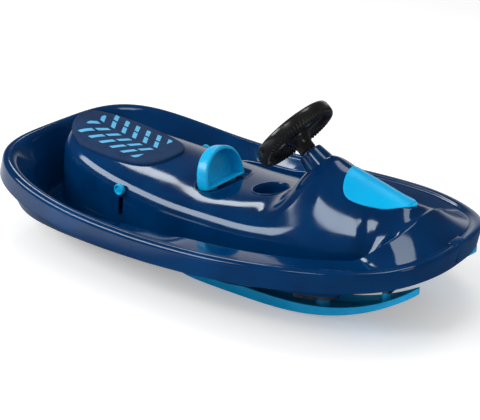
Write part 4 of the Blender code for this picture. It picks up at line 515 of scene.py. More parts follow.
def makeTray():
    t = tray
    floorZ = crownAt(t["x"]) - t["depth"]
    rings = [crownRing(insetOutline(trayOutline, inset), rise) for inset, rise in t["lip"]]
    for share in np.linspace(0.25, 1.0, 6):
        ring = crownRing(insetOutline(trayOutline, t["lipRound"] + t["wallDraft"] * share), -t["lipDepth"])
        rings.append([(x, y, mix(z, floorZ + t["floorRound"], share)) for x, y, z in ring])
    wallFoot = t["lipRound"] + t["wallDraft"]
    for turn in pi / 2 * np.array([0.35, 0.7, 1.0]):
        ring = insetOutline(trayOutline, wallFoot + t["floorRound"] * (1 - cos(turn)))
        rings.append(levelRing(ring, floorZ + t["floorRound"] * (1 - sin(turn))))
    inner = insetOutline(trayOutline, wallFoot + t["floorRound"])
    rings += [levelRing(drawnIn(inner, inner.mean(0), share), floorZ) for share in (0.7, 0.4, 0.1, 0.0)]
    pan = thicken(loftPiece("handleTray", rings, capEnds=False, closed=False), t["wall"])
    slots = []
    for side in (1, -1):
        slot = ovalPoints(t["slotX"], side * t["slotSpread"], t["slotLength"] / 2, t["slotWidth"] / 2, t["slotPower"])
        slots.append(loftPiece("traySlot", [levelRing(slot, floorZ + up) for up in (t["slotCut"], -t["slotCut"])]))
    return smoothPiece(carve(pan, slots), 55)


def makeCup():
    r, ring, wall, depth = cup["radius"], cup["ring"], cup["wall"], cup["depth"]
    low, flange = r - cup["draft"], r + cup["flange"]
    inside = roundProfile([(flange, -0.0006, 0), (flange, ring * 0.7, 0.0008), (r + 0.0015, ring, 0.0012),
                           (r - 0.001, -0.004, 0.003), (low, -depth, 0.008), (0, -depth, 0)], 0.002)
    under = [(0, -depth - wall), (low + wall * 0.6, -depth - wall), (r + wall - 0.001, -0.005), (flange, -0.0006)]
    return smoothPiece(place(turnedPiece("drinkCup", inside + under, 128), cupMatrix), 40)


def makeCollar():
    c = column
    top, end = -c["collarBelow"], -c["collarBelow"] - c["collarLength"]
    ceiling = end + c["reliefDepth"]
    corners = [(c["bore"], ceiling, 0), (c["bore"], top, 0.001), (c["collarRadius"], top, 0.0035),
               (c["collarFoot"], end, 0), (c["reliefRadius"], end, 0.001), (c["reliefRadius"], ceiling, 0.002),
               (c["bore"], ceiling, 0)]
    return smoothPiece(place(turnedPiece("columnCollar", roundProfile(corners, 0.002)), columnMatrix), 40)


def platePiece(name, outline, thickness, y, edge):
    # an upright plate with rounded edges, its outline in x and z
    curve = setFields(bpy.data.curves.new(name, "CURVE"), dimensions="2D", fill_mode="BOTH",
                      extrude=thickness / 2 - edge, bevel_depth=edge, bevel_resolution=2, offset=-edge)
    spline = curve.splines.new("POLY")
    spline.points.add(len(outline) - 1)
    for point, (x, z) in zip(spline.points, outline):
        point.co = (x, z, 0, 1)
    spline.use_cyclic_u = True
    holder = newObject(name, curve)
    bpy.context.view_layer.update()
    mesh = bpy.data.meshes.new_from_object(holder.evaluated_get(bpy.context.evaluated_depsgraph_get()))
    bpy.data.objects.remove(holder, do_unlink=True)
    mesh.transform(moveTo((0, y, 0)) @ Matrix.Rotation(pi / 2, 4, "X"))
    return smoothPiece(mergedPiece(name, mesh, closed=False), 40)


keels = dict(
    spread=0.100, rearX=-0.372, length=0.292, web=0.005, width=0.018, footHeight=0.012, endRise=0.024,
    endLength=0.040, webInset=0.006, hullGap=0.003, axleGap=0.04)


def makeKeel(side):
    k = keels
    rear, rise, end, inset, spread = k["rearX"], k["endRise"], k["endLength"], k["webInset"], k["spread"]
    front = rear + k["length"]
    lower = [(rear + end * t, rise * (1 - t) ** 2) for t in np.linspace(0, 1, 9)]
    lower += [(front - end * t, rise * (1 - t) ** 2) for t in np.linspace(1, 0, 9)]
    upper = [(x, z + k["footHeight"]) for x, z in reversed(lower)]
    name = "keelLeft" if side > 0 else "keelRight"
    runner = platePiece(name + "Runner", lower + upper, k["width"], side * spread, 0.002)
    lowX, highX = (railRearX(rail, spread) + k["hullGap"] for rail in ("floorIn", "sideTop"))
    web = [(rear + inset, rise + inset), (rear + end, inset), (front - end, inset), (front, rise + inset)]
    web += [(x, crownAt(x, spread) - hull["wall"] / 2) for x in np.linspace(front, axle["x"] - k["axleGap"], 9)]
    web += [(highX, float(heightAt("shoulder", highX)) - hull["shoulderDrop"]), (lowX, float(heightAt("floor", lowX)))]
    return runner, platePiece(name + "Web", web, k["web"], side * spread, 0.0008)


boss = dict(halfWidth=0.018, length=0.022, height=0.0365, setback=0.0005, round=0.0035, top=0.165)


def makeBoss():
    b = boss
    middle = (halfLength - b["setback"] - b["length"] / 2, 0, b["top"] - b["height"] / 2)
    return smoothPiece(boxPiece("noseBoss", (b["length"], 2 * b["halfWidth"], b["height"]), middle, b["round"]))


# the foam pad and the nose inlay, both lying on the hull

pad = dict(
    rearX=-0.404, length=0.243, halfWidth=0.084, taper=0.07, power=3.2, thickness=0.0055, edge=0.003,
    lift=0.0005, beadInset=0.0085, beadWidth=0.0014, beadHeight=0.0011)
inlay = dict(
    rearX=0.262, rearLength=0.030, noseLength=0.106, halfWidth=0.051, rearPower=2.6, nosePower=1.6,
    thickness=0.0018, edge=0.0012, lift=0.0005)
skin = dict(wallShare=0.45, stripStart=0.001, stripEnd=0.016)


def skinPiece(name, outline, sizes, bead=None):
    # rings from the under side's middle, round the edge, along the outline and back to the middle
    edge, lift, thickness, wall = sizes["edge"], sizes["lift"], sizes["thickness"], skin["wallShare"]
    middle = outline.mean(0)
    rings = [crownRing(drawnIn(outline, middle, share), lift) for share in np.linspace(0.05, 0.97, 16)]
    steps = [(0.0, 0.0), (0.0, wall)]
    steps += [(edge * (1 - cos(turn)), wall + (1 - wall) * sin(turn)) for turn in quarterSteps]
    steps += [(edge + inset, 1.0) for inset in np.linspace(skin["stripStart"], skin["stripEnd"], 16)]
    for inset, share in steps:
        up = lift + thickness * share + (bead(inset) if bead else 0.0)
        rings.append(crownRing(insetOutline(outline, inset), up))
    base = insetOutline(outline, edge + skin["stripEnd"])
    rings += [crownRing(drawnIn(base, middle, share), lift + thickness) for share in np.linspace(0.96, 0.04, 22)]
    return smoothPiece(loftPiece(name, rings), 60)


def padOutline():
    half = pad["length"] / 2
    middle = pad["rearX"] + half
    x, y = ovalPoints(middle, 0, half, pad["halfWidth"], pad["power"], 240).T
    limit = railWidth("shoulder", x) - hull["shoulderWidth"] / 2
    width = np.minimum(np.abs(y) * (1 - pad["taper"] * (x - middle) / half), np.maximum(limit, 0))
    return columns(x, np.copysign(width, y))


def padBead(inset):
    return pad["beadHeight"] * exp(-((inset - pad["beadInset"]) / pad["beadWidth"]) ** 2)


def inlayOutline():
    # a rounded rear edge that widens forwards, then a long taper to a round tip
    widest, half = inlay["rearX"] + inlay["rearLength"], inlay["halfWidth"]
    turn = np.linspace(0, pi / 2, 60)
    across, along = np.maximum(np.sin(turn), 0), np.maximum(np.cos(turn), 0)
    rearPower, nosePower = 2 / inlay["rearPower"], 2 / inlay["nosePower"]
    rear = columns(widest - inlay["rearLength"] * along ** rearPower, half * across ** rearPower)
    nose = columns(widest + inlay["noseLength"] * along ** nosePower, half * across ** nosePower)
    left = join([rear, nose[::-1][1:]])
    return join([left, left[-2:0:-1] * (1, -1)])


# steering wheel

wheel = dict(
    diameter=0.165, rimWidth=0.017, rimDepth=0.030, hubRadius=0.026, hubTop=0.006, flareDepth=0.010, flareEnd=0.024,
    sleeveRadius=0.0165, sleeveEnd=0.040, teeth=72, toothSteps=8, toothDepth=0.0022, spokeWidth=0.027,
    spokeTip=0.020, spokeDepth=0.009, spokeDrop=0.006, spokePower=0.45, spokeFlare=0.22, spokePoints=40,
    capRadius=0.021, capGap=0.0003, capHeight=0.0042, capWall=0.0016, web=0.005, screw=0.0028, columnRadius=0.0073,
    boreCut=0.004)
rimMiddle = wheel["diameter"] / 2 - wheel["rimWidth"] / 2
webTop = wheel["hubTop"] - wheel["capHeight"] - wheel["capWall"] / 2


def wheelRim():
    w = wheel
    corners = [(-0.5, 1.0), (0.5, 1.0), (0.92, 0.72), (1.0, 0.1), (0.94, -0.6), (0.45, -1.0), (-0.45, -1.0),
               (-0.94, -0.6), (-1.0, 0.1), (-0.92, 0.72)]
    a, b = np.array(roundProfile(corners, 0.42, 3, closed=True)).T
    steps = w["teeth"] * w["toothSteps"]
    rings = []
    for i in range(steps):
        phase = (i % w["toothSteps"]) / w["toothSteps"]
        low = smoothStep(phase, 0.1, 0.3) - smoothStep(phase, 0.55, 0.8)
        turn = 2 * pi * i / steps
        toothed = smoothStep(-b, 0.05, 0.55) * low * w["toothDepth"]
        radius = rimMiddle + a * w["rimWidth"] / 2 - np.sign(a) * toothed * np.clip(np.abs(a) * 2, 0, 1)
        height = b * w["rimDepth"] / 2 + toothed * smoothStep(-b, 0.7, 1.0)
        rings.append(columns(radius * cos(turn), radius * sin(turn), height))
    return loftPiece("steeringWheel", rings + [rings[0]], capEnds=False)


def wheelSpoke(i):
    w = wheel
    root = w["hubRadius"] / 2
    count = w["spokePoints"]
    turn = 2 * pi * np.arange(count) / count
    across, up = signedPower(np.cos(turn), w["spokePower"]), signedPower(np.sin(turn), w["spokePower"])
    rings = []
    for t in np.linspace(0, 1, 14):
        half = mix(w["spokeWidth"], w["spokeTip"], t) / 2 * (1 + w["spokeFlare"] * (2 * t - 1) ** 4)
        z = w["spokeDepth"] / 2 * up - w["spokeDrop"] * (1 - t)
        rings.append(columns(np.full(count, root + (rimMiddle - root) * t), half * across, z))
    return place(loftPiece("spoke", rings), Matrix.Rotation(pi / 3 * (2 * i + 1), 4, "Z"))


def makeWheel():
    w = wheel
    sleeve, end, hubTop = w["sleeveRadius"], w["sleeveEnd"], w["hubTop"]
    corners = [(0, hubTop, 0), (w["hubRadius"], hubTop, 0.002), (w["hubRadius"], -w["flareDepth"], 0.004),
               (sleeve, -w["flareEnd"], 0.006), (sleeve, -end, 0.0012), (0, -end, 0)]
    hub = turnedPiece("hubBody", roundProfile(corners, 0.002), 72)
    rim = carve(wheelRim(), [hub] + [wheelSpoke(i) for i in range(3)], "UNION")
    seat, screw, shaft, cut = w["capRadius"] + w["capGap"], w["screw"], w["columnRadius"], w["boreCut"]
    bore = turnedPiece("hubBore", [
        (0, hubTop + cut), (seat, hubTop + cut), (seat, webTop), (screw, webTop), (screw, webTop - w["web"]),
        (shaft, webTop - w["web"]), (shaft, -end - cut), (0, -end - cut)], 72)
    return smoothPiece(place(carve(rim, [bore]), columnMatrix), 42)


def makeHubCap():
    hubTop, r, wall = wheel["hubTop"], wheel["capRadius"], wheel["capWall"]
    top, foot = hubTop + wall, webTop + wheel["capGap"]
    corners = [(0, top, 0), (r * 0.55, top - 0.0002, 0.002), (r * 0.62, top - 0.0009, 0.001),
               (r, hubTop - wall / 4, 0.0012), (r, foot, 0), (r - wall, foot, 0), (r - wall, hubTop - wall, 0),
               (0, hubTop - wall, 0)]
    return smoothPiece(place(turnedPiece("hubCap", roundProfile(corners, 0.001), 72), columnMatrix), 40)


# skis

ski = dict(
    rearX=-0.048, tipX=0.468, widestX=0.150, halfWidth=0.036, tipWidth=0.0022, rearPower=4.0, tipPower=2.4,
    steps=110, spread=0.105, sole=0.004, wall=0.003, height=0.022, tipHeight=0.013, tipRise=0.098, risePower=2.64,
    rockerX=0.120, kingpinX=0.276, kingBoss=0.013, kingHole=0.0046, kingCut=0.09, kingMiddle=0.05, headRoom=0.0096,
    headRise=0.0066, headCut=0.044, tieX=0.407, tieBoss=0.009, tieHole=0.0033, tieTop=0.0852, tieDepth=0.012,
    bossTop=0.0499)


def soleHeight(x):
    share = max((x - ski["rockerX"]) / (ski["tipX"] - ski["rockerX"]), 0)
    return ski["tipRise"] * share ** ski["risePower"]


def skiSection(x, width, y0):
    # one section of the tray: rounded wall tops, a rounded chine outside and a fillet inside
    height = mix(ski["height"], ski["tipHeight"], smoothStep(x, ski["rockerX"], ski["tipX"]))
    inner, sole, low = max(width - ski["wall"], width * 0.4), ski["sole"], soleHeight(x)
    foot = inner - 0.0008
    corners = [(-width, height, 0.001), (-width, 0, 0.003), (width, 0, 0.003), (width, height, 0.001),
               (inner, height, 0.001), (foot, sole, 0.003), (-foot, sole, 0.003), (-inner, height, 0.001)]
    return [(x, y0 + y, low + z) for y, z in roundProfile(corners, 0.001, 3, closed=True)]


def makeSki(side):
    s = ski
    y0 = side * s["spread"]
    rings = []
    for i in range(s["steps"] + 1):
        turn = pi * i / s["steps"]
        c = -cos(turn)
        power, end = (s["rearPower"], s["rearX"]) if c < 0 else (s["tipPower"], s["tipX"])
        x = s["widestX"] + abs(end - s["widestX"]) * copysign(abs(c) ** (2 / power), c)
        rings.append(skiSection(x, max(s["halfWidth"] * abs(sin(turn)) ** (2 / power), s["tipWidth"]), y0))
    body = loftPiece("skiLeft" if side > 0 else "skiRight", rings)
    base, tieBase = (soleHeight(x) + s["sole"] / 2 for x in (s["kingpinX"], s["tieX"]))
    king, kingTop, tie, tieTop = s["kingBoss"], s["bossTop"], s["tieBoss"], s["tieTop"]
    kingCorners = [(0, kingTop, 0), (king, kingTop, 0.0012), (king, base + 0.004, 0.002), (king + 0.004, base, 0),
                   (0, base, 0)]
    tieCorners = [(0, tieTop, 0), (tie, tieTop, 0.001), (tie, tieBase, 0), (0, tieBase, 0)]
    bosses = [place(turnedPiece(name, roundProfile(corners, 0.001), 48), moveTo((x, y0, 0)))
              for name, corners, x in (("kingBoss", kingCorners, s["kingpinX"]), ("tieBoss", tieCorners, s["tieX"]))]
    carve(body, bosses, "UNION")
    headZ = soleHeight(s["kingpinX"]) + s["headRise"] - s["headCut"] / 2
    carve(body, [cylinderPiece(name, radius, length, moveTo((x, y0, z)), 48) for name, radius, length, x, z in (
        ("headRoom", s["headRoom"], s["headCut"], s["kingpinX"], headZ),
        ("kingHole", s["kingHole"], s["kingCut"], s["kingpinX"], s["kingMiddle"]),
        ("tieHole", s["tieHole"], 2 * s["tieDepth"], s["tieX"], tieTop))])
    return smoothPiece(body, 45)


# brake handle and axle caps

handle = dict(
    halfWidth=0.060, height=0.072, depth=0.028, band=0.0075, footBand=0.004, round=0.005, innerRound=0.0019,
    fillet=0.0025, web=0.004, lean=radians(12), footZ=0.148, frontX=-0.036, frontZ=0.089, crossbar=0.010,
    barGap=0.0003, stemSpread=0.030, stemLength=0.009, stemWidth=0.020, screw=0.0028, screwCut=0.0184, archPower=0.8,
    middle=0.42, loopPoints=200)


def archLoop(inset, lower):
    # closed loop of the D in y and z: the arch, then back along its foot
    half, height = handle["halfWidth"] - inset, handle["height"] - inset
    turn = np.linspace(0, pi, 64)
    arch = columns(half * np.cos(turn), lower + (height - lower) * np.sin(turn) ** handle["archPower"])
    foot = columns(np.linspace(-half, half, 24)[1:-1], np.full(22, lower))
    # every loop has its points spaced alike and starts at the top, so that the rings match
    loop = counterClockwise(evenLoop(join([arch, foot]), handle["loopPoints"]))
    return np.roll(loop, -int(np.argmax(loop[:, 1])), 0)


def makeHandle():
    h = handle
    half, webX = h["depth"] / 2, h["web"] - h["depth"] / 2
    middle = np.array([0, h["height"] * h["middle"]])
    rings = []

    def addRing(x, inset, lower=0.0, share=1.0):
        rings.append([(x, y, z) for y, z in drawnIn(archLoop(inset, lower), middle, share)])

    turns = [(1 - cos(turn), 1 - sin(turn)) for turn in quarterSteps]
    for share in (0.02, 0.3, 0.6, 0.85):
        addRing(-half, h["round"], share=share)
    for rising, falling in turns:
        addRing(-half + h["round"] * rising, h["round"] * falling)
    for rising, falling in turns:
        addRing(half - h["round"] * falling, h["round"] * rising)
    for rising, falling in turns:
        out = h["innerRound"] * falling
        addRing(half - h["innerRound"] * rising, h["band"] - out, h["footBand"] - out)
    for rising, falling in turns:
        drawn = h["fillet"] * rising
        addRing(webX + h["fillet"] * falling, h["band"] + drawn, h["footBand"] + drawn)
    for share in (0.85, 0.6, 0.3, 0.02):
        addRing(webX, h["band"] + h["fillet"], h["footBand"] + h["fillet"], share)
    piece = place(loftPiece("brakeHandle", rings), leaning(h["frontX"], h["footZ"], h["lean"]))
    low, top = h["frontZ"] + h["crossbar"] / 2 + h["barGap"], h["footZ"] + h["footBand"] / 2
    ends = [side * h["stemSpread"] for side in (1, -1)]
    stem = (h["stemLength"], h["stemWidth"], top - low)
    carve(piece, [boxPiece("stem", stem, (h["frontX"], y, (top + low) / 2)) for y in ends], "UNION")
    carve(piece, [cylinderPiece("stemHole", h["screw"], h["screwCut"], moveTo((h["frontX"], y, low)), 32)
                  for y in ends])
    return smoothPiece(piece, 40)


caps = dict(radius=0.0115, height=0.008, bore=0.0053, boreDepth=0.005)


def makeCap(side):
    r, t, bore, depth = caps["radius"], caps["height"], caps["bore"], caps["boreDepth"]
    corners = [(0, t * 0.72, 0), (r * 0.2, t * 0.72, 0.001), (r * 0.62, t * 0.62, 0.001), (r * 0.72, t, 0.0008),
               (r * 0.93, t, 0.0008), (r, t * 0.75, 0.001), (r, 0.0, 0.0003), (bore, 0, 0.0003), (bore, depth, 0),
               (0, depth, 0)]
    piece = turnedPiece("axleCapLeft" if side > 0 else "axleCapRight", roundProfile(corners, 0.0008), 72)
    end = moveTo((axle["x"], side * axle["spread"], axle["z"]))
    return smoothPiece(place(piece, end @ Matrix.Rotation(-side * pi / 2, 4, "X")), 40)


# finishes: each one is worked out from the piece's own coordinates, in the node tree that was opened last

opened = {}


def tableOf(keys, rows):
    return {name: dict(zip(keys, row)) for name, row in rows.items()}


def openTree(owner):
    owner.use_nodes = True
    opened["tree"] = owner.node_tree
    return owner.node_tree.nodes


def setInputs(node, inputs):
    for key, value in inputs.items():
        if isinstance(value, bpy.types.NodeSocket):
            opened["tree"].links.new(value, node.inputs[key])
        else:
            node.inputs[key].default_value = value


def addNode(kind, inputs=None, **settings):
    node = setFields(opened["tree"].nodes.new(kind), **settings)
    setInputs(node, inputs or {})
    return node


def newMaterial(name):
    material = bpy.data.materials.new(name)
    shader = openTree(material)["Principled BSDF"]
    return material, shader, addNode("ShaderNodeTexCoord").outputs["Object"]


def linearColour(red, green, blue):
    # from the 0 to 255 values that a screen shows
    def one(value):
        value = value / 255
        return value / 12.92 if value <= 0.04045 else ((value + 0.055) / 1.055) ** 2.4
    return one(red), one(green), one(blue), 1.0


def noise(point, scale, detail=3.0, rough=0.55, stretch=None):
    if stretch:
        point = addNode("ShaderNodeMapping", {"Vector": point, "Scale": stretch}).outputs["Vector"]
    inputs = {"Vector": point, "Scale": scale, "Detail": detail, "Roughness": rough}
    return addNode("ShaderNodeTexNoise", inputs).outputs["Fac"]


def cellNoise(point, scale):
    return addNode("ShaderNodeTexVoronoi", {"Vector": point, "Scale": scale}).outputs["Distance"]


def mathNode(operation, *values, clamp=False):
    return addNode("ShaderNodeMath", dict(enumerate(values)), operation=operation, use_clamp=clamp).outputs[0]


def product(a, b):
    return mathNode("MULTIPLY", a, b)


def rangeNode(value, low, high, toLow=0.0, toHigh=1.0):
    inputs = {"Value": value, "From Min": low, "From Max": high, "To Min": toLow, "To Max": toHigh}
    return addNode("ShaderNodeMapRange", inputs, interpolation_type="SMOOTHSTEP").outputs[0]


def mixColour(share, a, b):
    return addNode("ShaderNodeMix", {0: share, 6: a, 7: b}, data_type="RGBA").outputs[2]


def pigment(finish, drift, low, high):
    return mixColour(rangeNode(drift, low, high), linearColour(*finish["dark"]), linearColour(*finish["colour"]))


def bumpNode(height, strength, distance):
    inputs = {"Height": height, "Strength": strength, "Distance": distance}
    return addNode("ShaderNodeBump", inputs).outputs["Normal"]


plastics = tableOf(("colour", "dark", "worn", "rough", "grain", "bump", "specular", "tint", "swirl"), {
    "hullBlue": ((0, 52, 100), (0, 40, 82), (30, 92, 140), (0.07, 0.12), 900, 0.02, 0.55, (0.78, 0.90, 1.0), 7),
    "inlayCyan": ((0, 182, 238), (0, 168, 226), (90, 205, 245), (0.26, 0.38), 1400, 0.04, 0.3, (0.45, 0.85, 1.0), 9),
    "skiCyan": ((0, 172, 232), (0, 154, 214), (110, 200, 235), (0.28, 0.42), 1100, 0.07, 0.45, (0.8, 0.95, 1.0), 11),
    "handleCyan": ((0, 180, 236), (0, 164, 222), (120, 210, 240), (0.26, 0.36), 1600, 0.06, 0.5, (0.85, 0.96, 1.0), 16),
    "wheelBlack": ((30, 29, 29), (20, 20, 20), (70, 70, 72), (0.20, 0.32), 2200, 0.08, 0.6, (1, 1, 1), 20),
    "carrierBlack": ((40, 41, 43), (28, 29, 31), (82, 84, 88), (0.42, 0.6), 1500, 0.2, 0.45, (1, 1, 1), 14),
    "bushBlack": ((52, 52, 54), (40, 40, 42), (90, 90, 92), (0.3, 0.44), 2600, 0.08, 0.45, (1, 1, 1), 30),
})


def plasticMaterial(name):
    # moulded plastic: drifts of pigment, fine grain, faint scuffs along the sled, paler worn edges
    p = plastics[name]
    material, shader, point = newMaterial(name)
    bend = addNode("ShaderNodeNewGeometry").outputs["Pointiness"]
    edge = product(rangeNode(bend, 0.53, 0.60), rangeNode(noise(point, 60), 0.42, 0.66))
    scuff = rangeNode(noise(point, 34, 5.0, 0.7, (0.22, 3.2, 2.0)), 0.64, 0.76)
    wear = mathNode("ADD", product(edge, 0.5), product(scuff, 0.10), clamp=True)
    colour = pigment(p, noise(point, p["swirl"], 4.0), 0.32, 0.68)
    haze = rangeNode(noise(point, 23, 5.0), 0.35, 0.7, *p["rough"])
    setInputs(shader, {
        "Base Color": mixColour(wear, colour, linearColour(*p["worn"])),
        "Roughness": mathNode("ADD", haze, product(scuff, 0.12)),
        "Normal": bumpNode(noise(point, p["grain"], 2.0), p["bump"], 0.0003),
        "Specular IOR Level": p["specular"], "Specular Tint": (*p["tint"], 1.0)})
    return material


steels = tableOf(("colour", "dark", "rough", "scale"), {
    "zincSteel": ((172, 176, 182), (138, 143, 150), (0.26, 0.44), 90),
    "axleSteel": ((158, 160, 165), (120, 122, 128), (0.2, 0.34), 70),
    "clawSteel": ((150, 153, 158), (104, 106, 112), (0.3, 0.52), 120),
    "springSteel": ((128, 130, 134), (84, 86, 90), (0.22, 0.36), 160),
    "boltSteel": ((184, 186, 188), (150, 151, 146), (0.24, 0.4), 200),
})


def steelMaterial(name):
    # plated steel: spangle in the zinc, drawn lines and darker rubbed patches
    s = steels[name]
    material, shader, point = newMaterial(name)
    patches = product(noise(point, s["scale"], 4.0), 0.6)
    tone = mathNode("ADD", product(cellNoise(point, s["scale"] * 4.0), 0.5), patches)
    lines = noise(point, s["scale"] * 8, 2.0, 0.5, (0.08, 1.0, 1.0))
    setInputs(shader, {
        "Base Color": pigment(s, tone, 0.3, 0.75), "Roughness": rangeNode(lines, 0.3, 0.7, *s["rough"]),
        "Normal": bumpNode(lines, 0.12, 0.0002), "Metallic": 1.0})
    return material


foam = dict(
    colour=(34, 60, 98), dark=(26, 48, 84), print=(96, 184, 228), pitch=0.029, bar=0.40, slant=0.62,
    centreX=-0.288, halfX=0.082, halfY=0.060, gapY=0.0045, bandY=0.031, bandHalf=0.0025, blur=0.001, bandBlur=0.0008,
    cells=850)


def foamMaterial():
    # closed-cell foam with a skin, and a generic print of chevrons in two rows, broken by a plain band
    f = foam
    material, shader, point = newMaterial("padFoam")
    x, y = addNode("ShaderNodeSeparateXYZ", {0: point}).outputs[:2]
    side = mathNode("ABSOLUTE", y)
    along = mathNode("SUBTRACT", x, f["centreX"])
    slanted = mathNode("ADD", along, product(side, f["slant"]))
    beat = mathNode("FRACT", mathNode("DIVIDE", mathNode("ADD", slanted, 1.0), f["pitch"]))
    band = mathNode("ABSOLUTE", mathNode("SUBTRACT", side, f["bandY"]))
    printed = 1.0
    for value, low, high in (
            (beat, 0.04, 0.07), (beat, f["bar"] + 0.03, f["bar"]),
            (mathNode("ABSOLUTE", along), f["halfX"], f["halfX"] - f["blur"]),
            (side, f["halfY"], f["halfY"] - f["blur"]), (side, f["gapY"], f["gapY"] + f["blur"]),
            (band, f["bandHalf"], f["bandHalf"] + f["bandBlur"]), (noise(point, 320, 4.0, 0.7), 0.70, 0.60)):
        printed = product(printed, rangeNode(value, low, high))
    drift = noise(point, 26, 4.0)
    dents = mathNode("ADD", cellNoise(point, f["cells"]), product(noise(point, 45), 1.2))
    setInputs(shader, {
        "Base Color": mixColour(printed, pigment(f, drift, 0.3, 0.7), linearColour(*f["print"])),
        "Roughness": rangeNode(drift, 0.3, 0.7, 0.72, 0.9), "Normal": bumpNode(dents, 0.35, 0.0006),
        "Specular IOR Level": 0.22, "Specular Tint": (0.7, 0.85, 1.0, 1.0)})
    return material


materials = {name: plasticMaterial(name) for name in plastics}
materials.update({name: steelMaterial(name) for name in steels})
materials["padFoam"] = foamMaterial()
print("materials:", len(materials))


# put the pieces on their bodies

def paint(piece, finish):
    piece.data.materials.clear()
    piece.data.materials.append(materials[finish])


def mount(piece, body, finish, slot, *replaced):
    paint(piece, finish)
    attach(piece, body)
    if replaced:
        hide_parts(*replaced)
    return piece


hullPiece = mount(makeHull(), "sled", "hullBlue", "moulded_blue", "hull_shell")
print("hull sheet:", len(hullPiece.data.polygons), "faces")
for piece in (makeTray(), makeCup(), makeCollar(), makeBoss(), *makeKeel(1), *makeKeel(-1)):
    mount(piece, "sled", "hullBlue", "moulded_blue")
print("moulded details done")

padPiece = skinPiece("seatPad", counterClockwise(padOutline()), pad, padBead)
mount(padPiece, "sled", "padFoam", "pad_foam", "seat_pad")
inlayPiece = skinPiece("noseInlay", evenLoop(counterClockwise(inlayOutline()), 200), inlay)
mount(inlayPiece, "sled", "inlayCyan", "moulded_cyan", "nose_inlay")
print("pad and inlay done")

mount(makeWheel(), "steering", "wheelBlack", "moulded_black", "steering_wheel")
mount(makeHubCap(), "steering", "wheelBlack", "moulded_black", "wheel_hub_cap")
mount(makeSki(1), "ski_l", "skiCyan", "moulded_cyan", "ski_left")
mount(makeSki(-1), "ski_r", "skiCyan", "moulded_cyan", "ski_right")
mount(makeHandle(), "brake", "handleCyan", "moulded_cyan", "brake_handle")
mount(makeCap(1), "sled", "handleCyan", "moulded_cyan", "axle_cap_left")
mount(makeCap(-1), "sled", "handleCyan", "moulded_cyan", "axle_cap_right")
print("wheel, skis, handle and caps done")

# the frame's own nodes that stay in view get their finish by how their names start; the last match holds
finishes = {
    "bushBlack": "column_bush", "carrierBlack": ("steering_carrier", "brake_lever"),
    "axleSteel": ("brake_axle", "steering_column"), "zincSteel": ("column_retainer", "crank_arm", "tie_bar"),
    "clawSteel": "brake_claw", "springSteel": "brake_spring",
    "boltSteel": ("claw_rivet", "carrier_screw", "handle_screw", "kingpin", "tie_bar_pin", "crank_bolt", "wheel_screw"),
}
for finish, starts in finishes.items():
    for nodeName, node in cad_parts.items():
        if nodeName.startswith(starts):
            paint(node, finish)
            smoothPiece(node, 30)


# floor, world, lamps and camera

studio = dict(
    target=(0.039, -0.04, 0.12), distance=2.4, azimuth=37.0, elevation=23.5, lens=93.75, floorReach=12,
    floorGlow=0.30, worldForLight=0.62, bandLow=0.02, bandHigh=0.55, glossHigh=0.06, glossLow=0.85)


def makeFloor():
    mesh = bpy.data.meshes.new("floor")
    mesh.from_pydata([(x * studio["floorReach"], y * studio["floorReach"], 0)
                      for x, y in ((-1, -1), (1, -1), (1, 1), (-1, 1))], [], [(0, 1, 2, 3)])
    material, shader, point = newMaterial("floorPaper")
    mesh.materials.append(material)
    paper = mixColour(rangeNode(noise(point, 1.5), 0.3, 0.7), (0.84, 0.84, 0.84, 1), (0.88, 0.88, 0.88, 1))
    # the camera sees white paper, and the gloss sees it darker, as on the photo's sides
    path = addNode("ShaderNodeLightPath").outputs
    x = addNode("ShaderNodeSeparateXYZ", {0: point}).outputs[0]
    mirrored = mixColour(rangeNode(x, -0.3, -0.9), (0.10, 0.13, 0.18, 1), (0.80, 0.82, 0.85, 1))
    setInputs(shader, {
        "Base Color": mixColour(path["Is Glossy Ray"], paper, mirrored), "Roughness": 0.9, "Specular IOR Level": 0.1,
        "Emission Color": (1, 1, 1, 1), "Emission Strength": product(path["Is Camera Ray"], studio["floorGlow"])})
    newObject("floor", mesh)


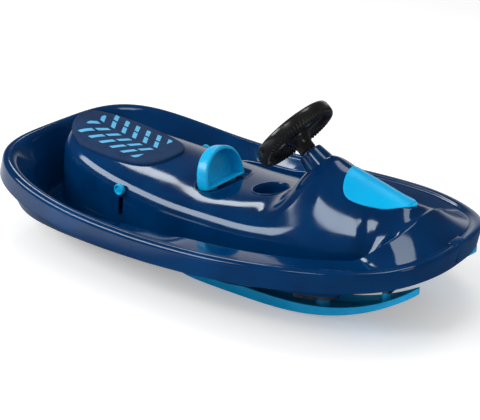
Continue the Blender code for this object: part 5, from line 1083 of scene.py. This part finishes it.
def makeWorld():
    # white behind the object; the gloss meets a bright band over the horizon at the far left and a dim room above
    world = bpy.data.worlds.new("studio")
    bpy.context.scene.world = world
    background = openTree(world)["Background"]
    path = addNode("ShaderNodeLightPath").outputs
    x, y, z = addNode("ShaderNodeSeparateXYZ", {0: addNode("ShaderNodeTexCoord").outputs["Generated"]}).outputs
    height = rangeNode(z, studio["bandHigh"], studio["bandLow"])
    leftRear = rangeNode(mathNode("SUBTRACT", y, x), 0.9, 1.3)
    gloss = rangeNode(product(height, leftRear), 0.0, 1.0, studio["glossHigh"], studio["glossLow"])
    seen = mathNode("ADD", path["Is Camera Ray"], path["Is Transmission Ray"], clamp=True)
    other = studio["worldForLight"]
    light = mathNode("MULTIPLY_ADD", path["Is Glossy Ray"], mathNode("SUBTRACT", gloss, other), other)
    strength = mathNode("MULTIPLY_ADD", seen, mathNode("SUBTRACT", 1.0, light), light)
    setInputs(background, {"Color": (1, 1, 1, 1), "Strength": strength})


# where it stands, where it points, size, watts
lamps = tableOf(("at", "to", "size", "power"), {
    "softBoxTop": ((0.3, 0.5, 2.3), (0, 0, 0.1), (0.9, 0.6), 7),
    "softBoxLeft": ((-1.55, 1.3, 1.85), (-0.1, 0, 0.15), (0.5, 0.35), 3.6),
    "stripRearRight": ((-1.75, -1.75, 1.50), (-0.1, -0.1, 0.15), (1.9, 0.85), 40),
    "softBoxRight": ((0.0, -1.9, 2.15), (0.22, -0.1, 0.15), (0.7, 0.45), 8),
    "softBoxFront": ((2.2, -0.6, 0.9), (0.1, 0, 0.1), (0.5, 0.9), 4),
})


def aim(item, at, direction):
    item.location = at
    item.rotation_euler = direction.to_track_quat("-Z", "Y").to_euler()


def makeLamps():
    for name, lamp in lamps.items():
        data = setFields(bpy.data.lights.new(name, "AREA"), shape="RECTANGLE", energy=lamp["power"])
        data.size, data.size_y = lamp["size"]
        aim(newObject(name, data), lamp["at"], Vector(lamp["to"]) - Vector(lamp["at"]))


def makeCamera():
    a, e = radians(studio["azimuth"]), radians(studio["elevation"])
    direction = Vector((sin(a) * cos(e), -cos(a) * cos(e), sin(e)))
    data = setFields(bpy.data.cameras.new("camera"), sensor_width=36, lens=studio["lens"], clip_end=100)
    item = newObject("camera", data)
    aim(item, Vector(studio["target"]) + direction * studio["distance"], -direction)
    bpy.context.scene.camera = item


makeFloor()
makeWorld()
makeLamps()
makeCamera()
bpy.context.scene.view_settings.view_transform = "Standard"
print("stage set")
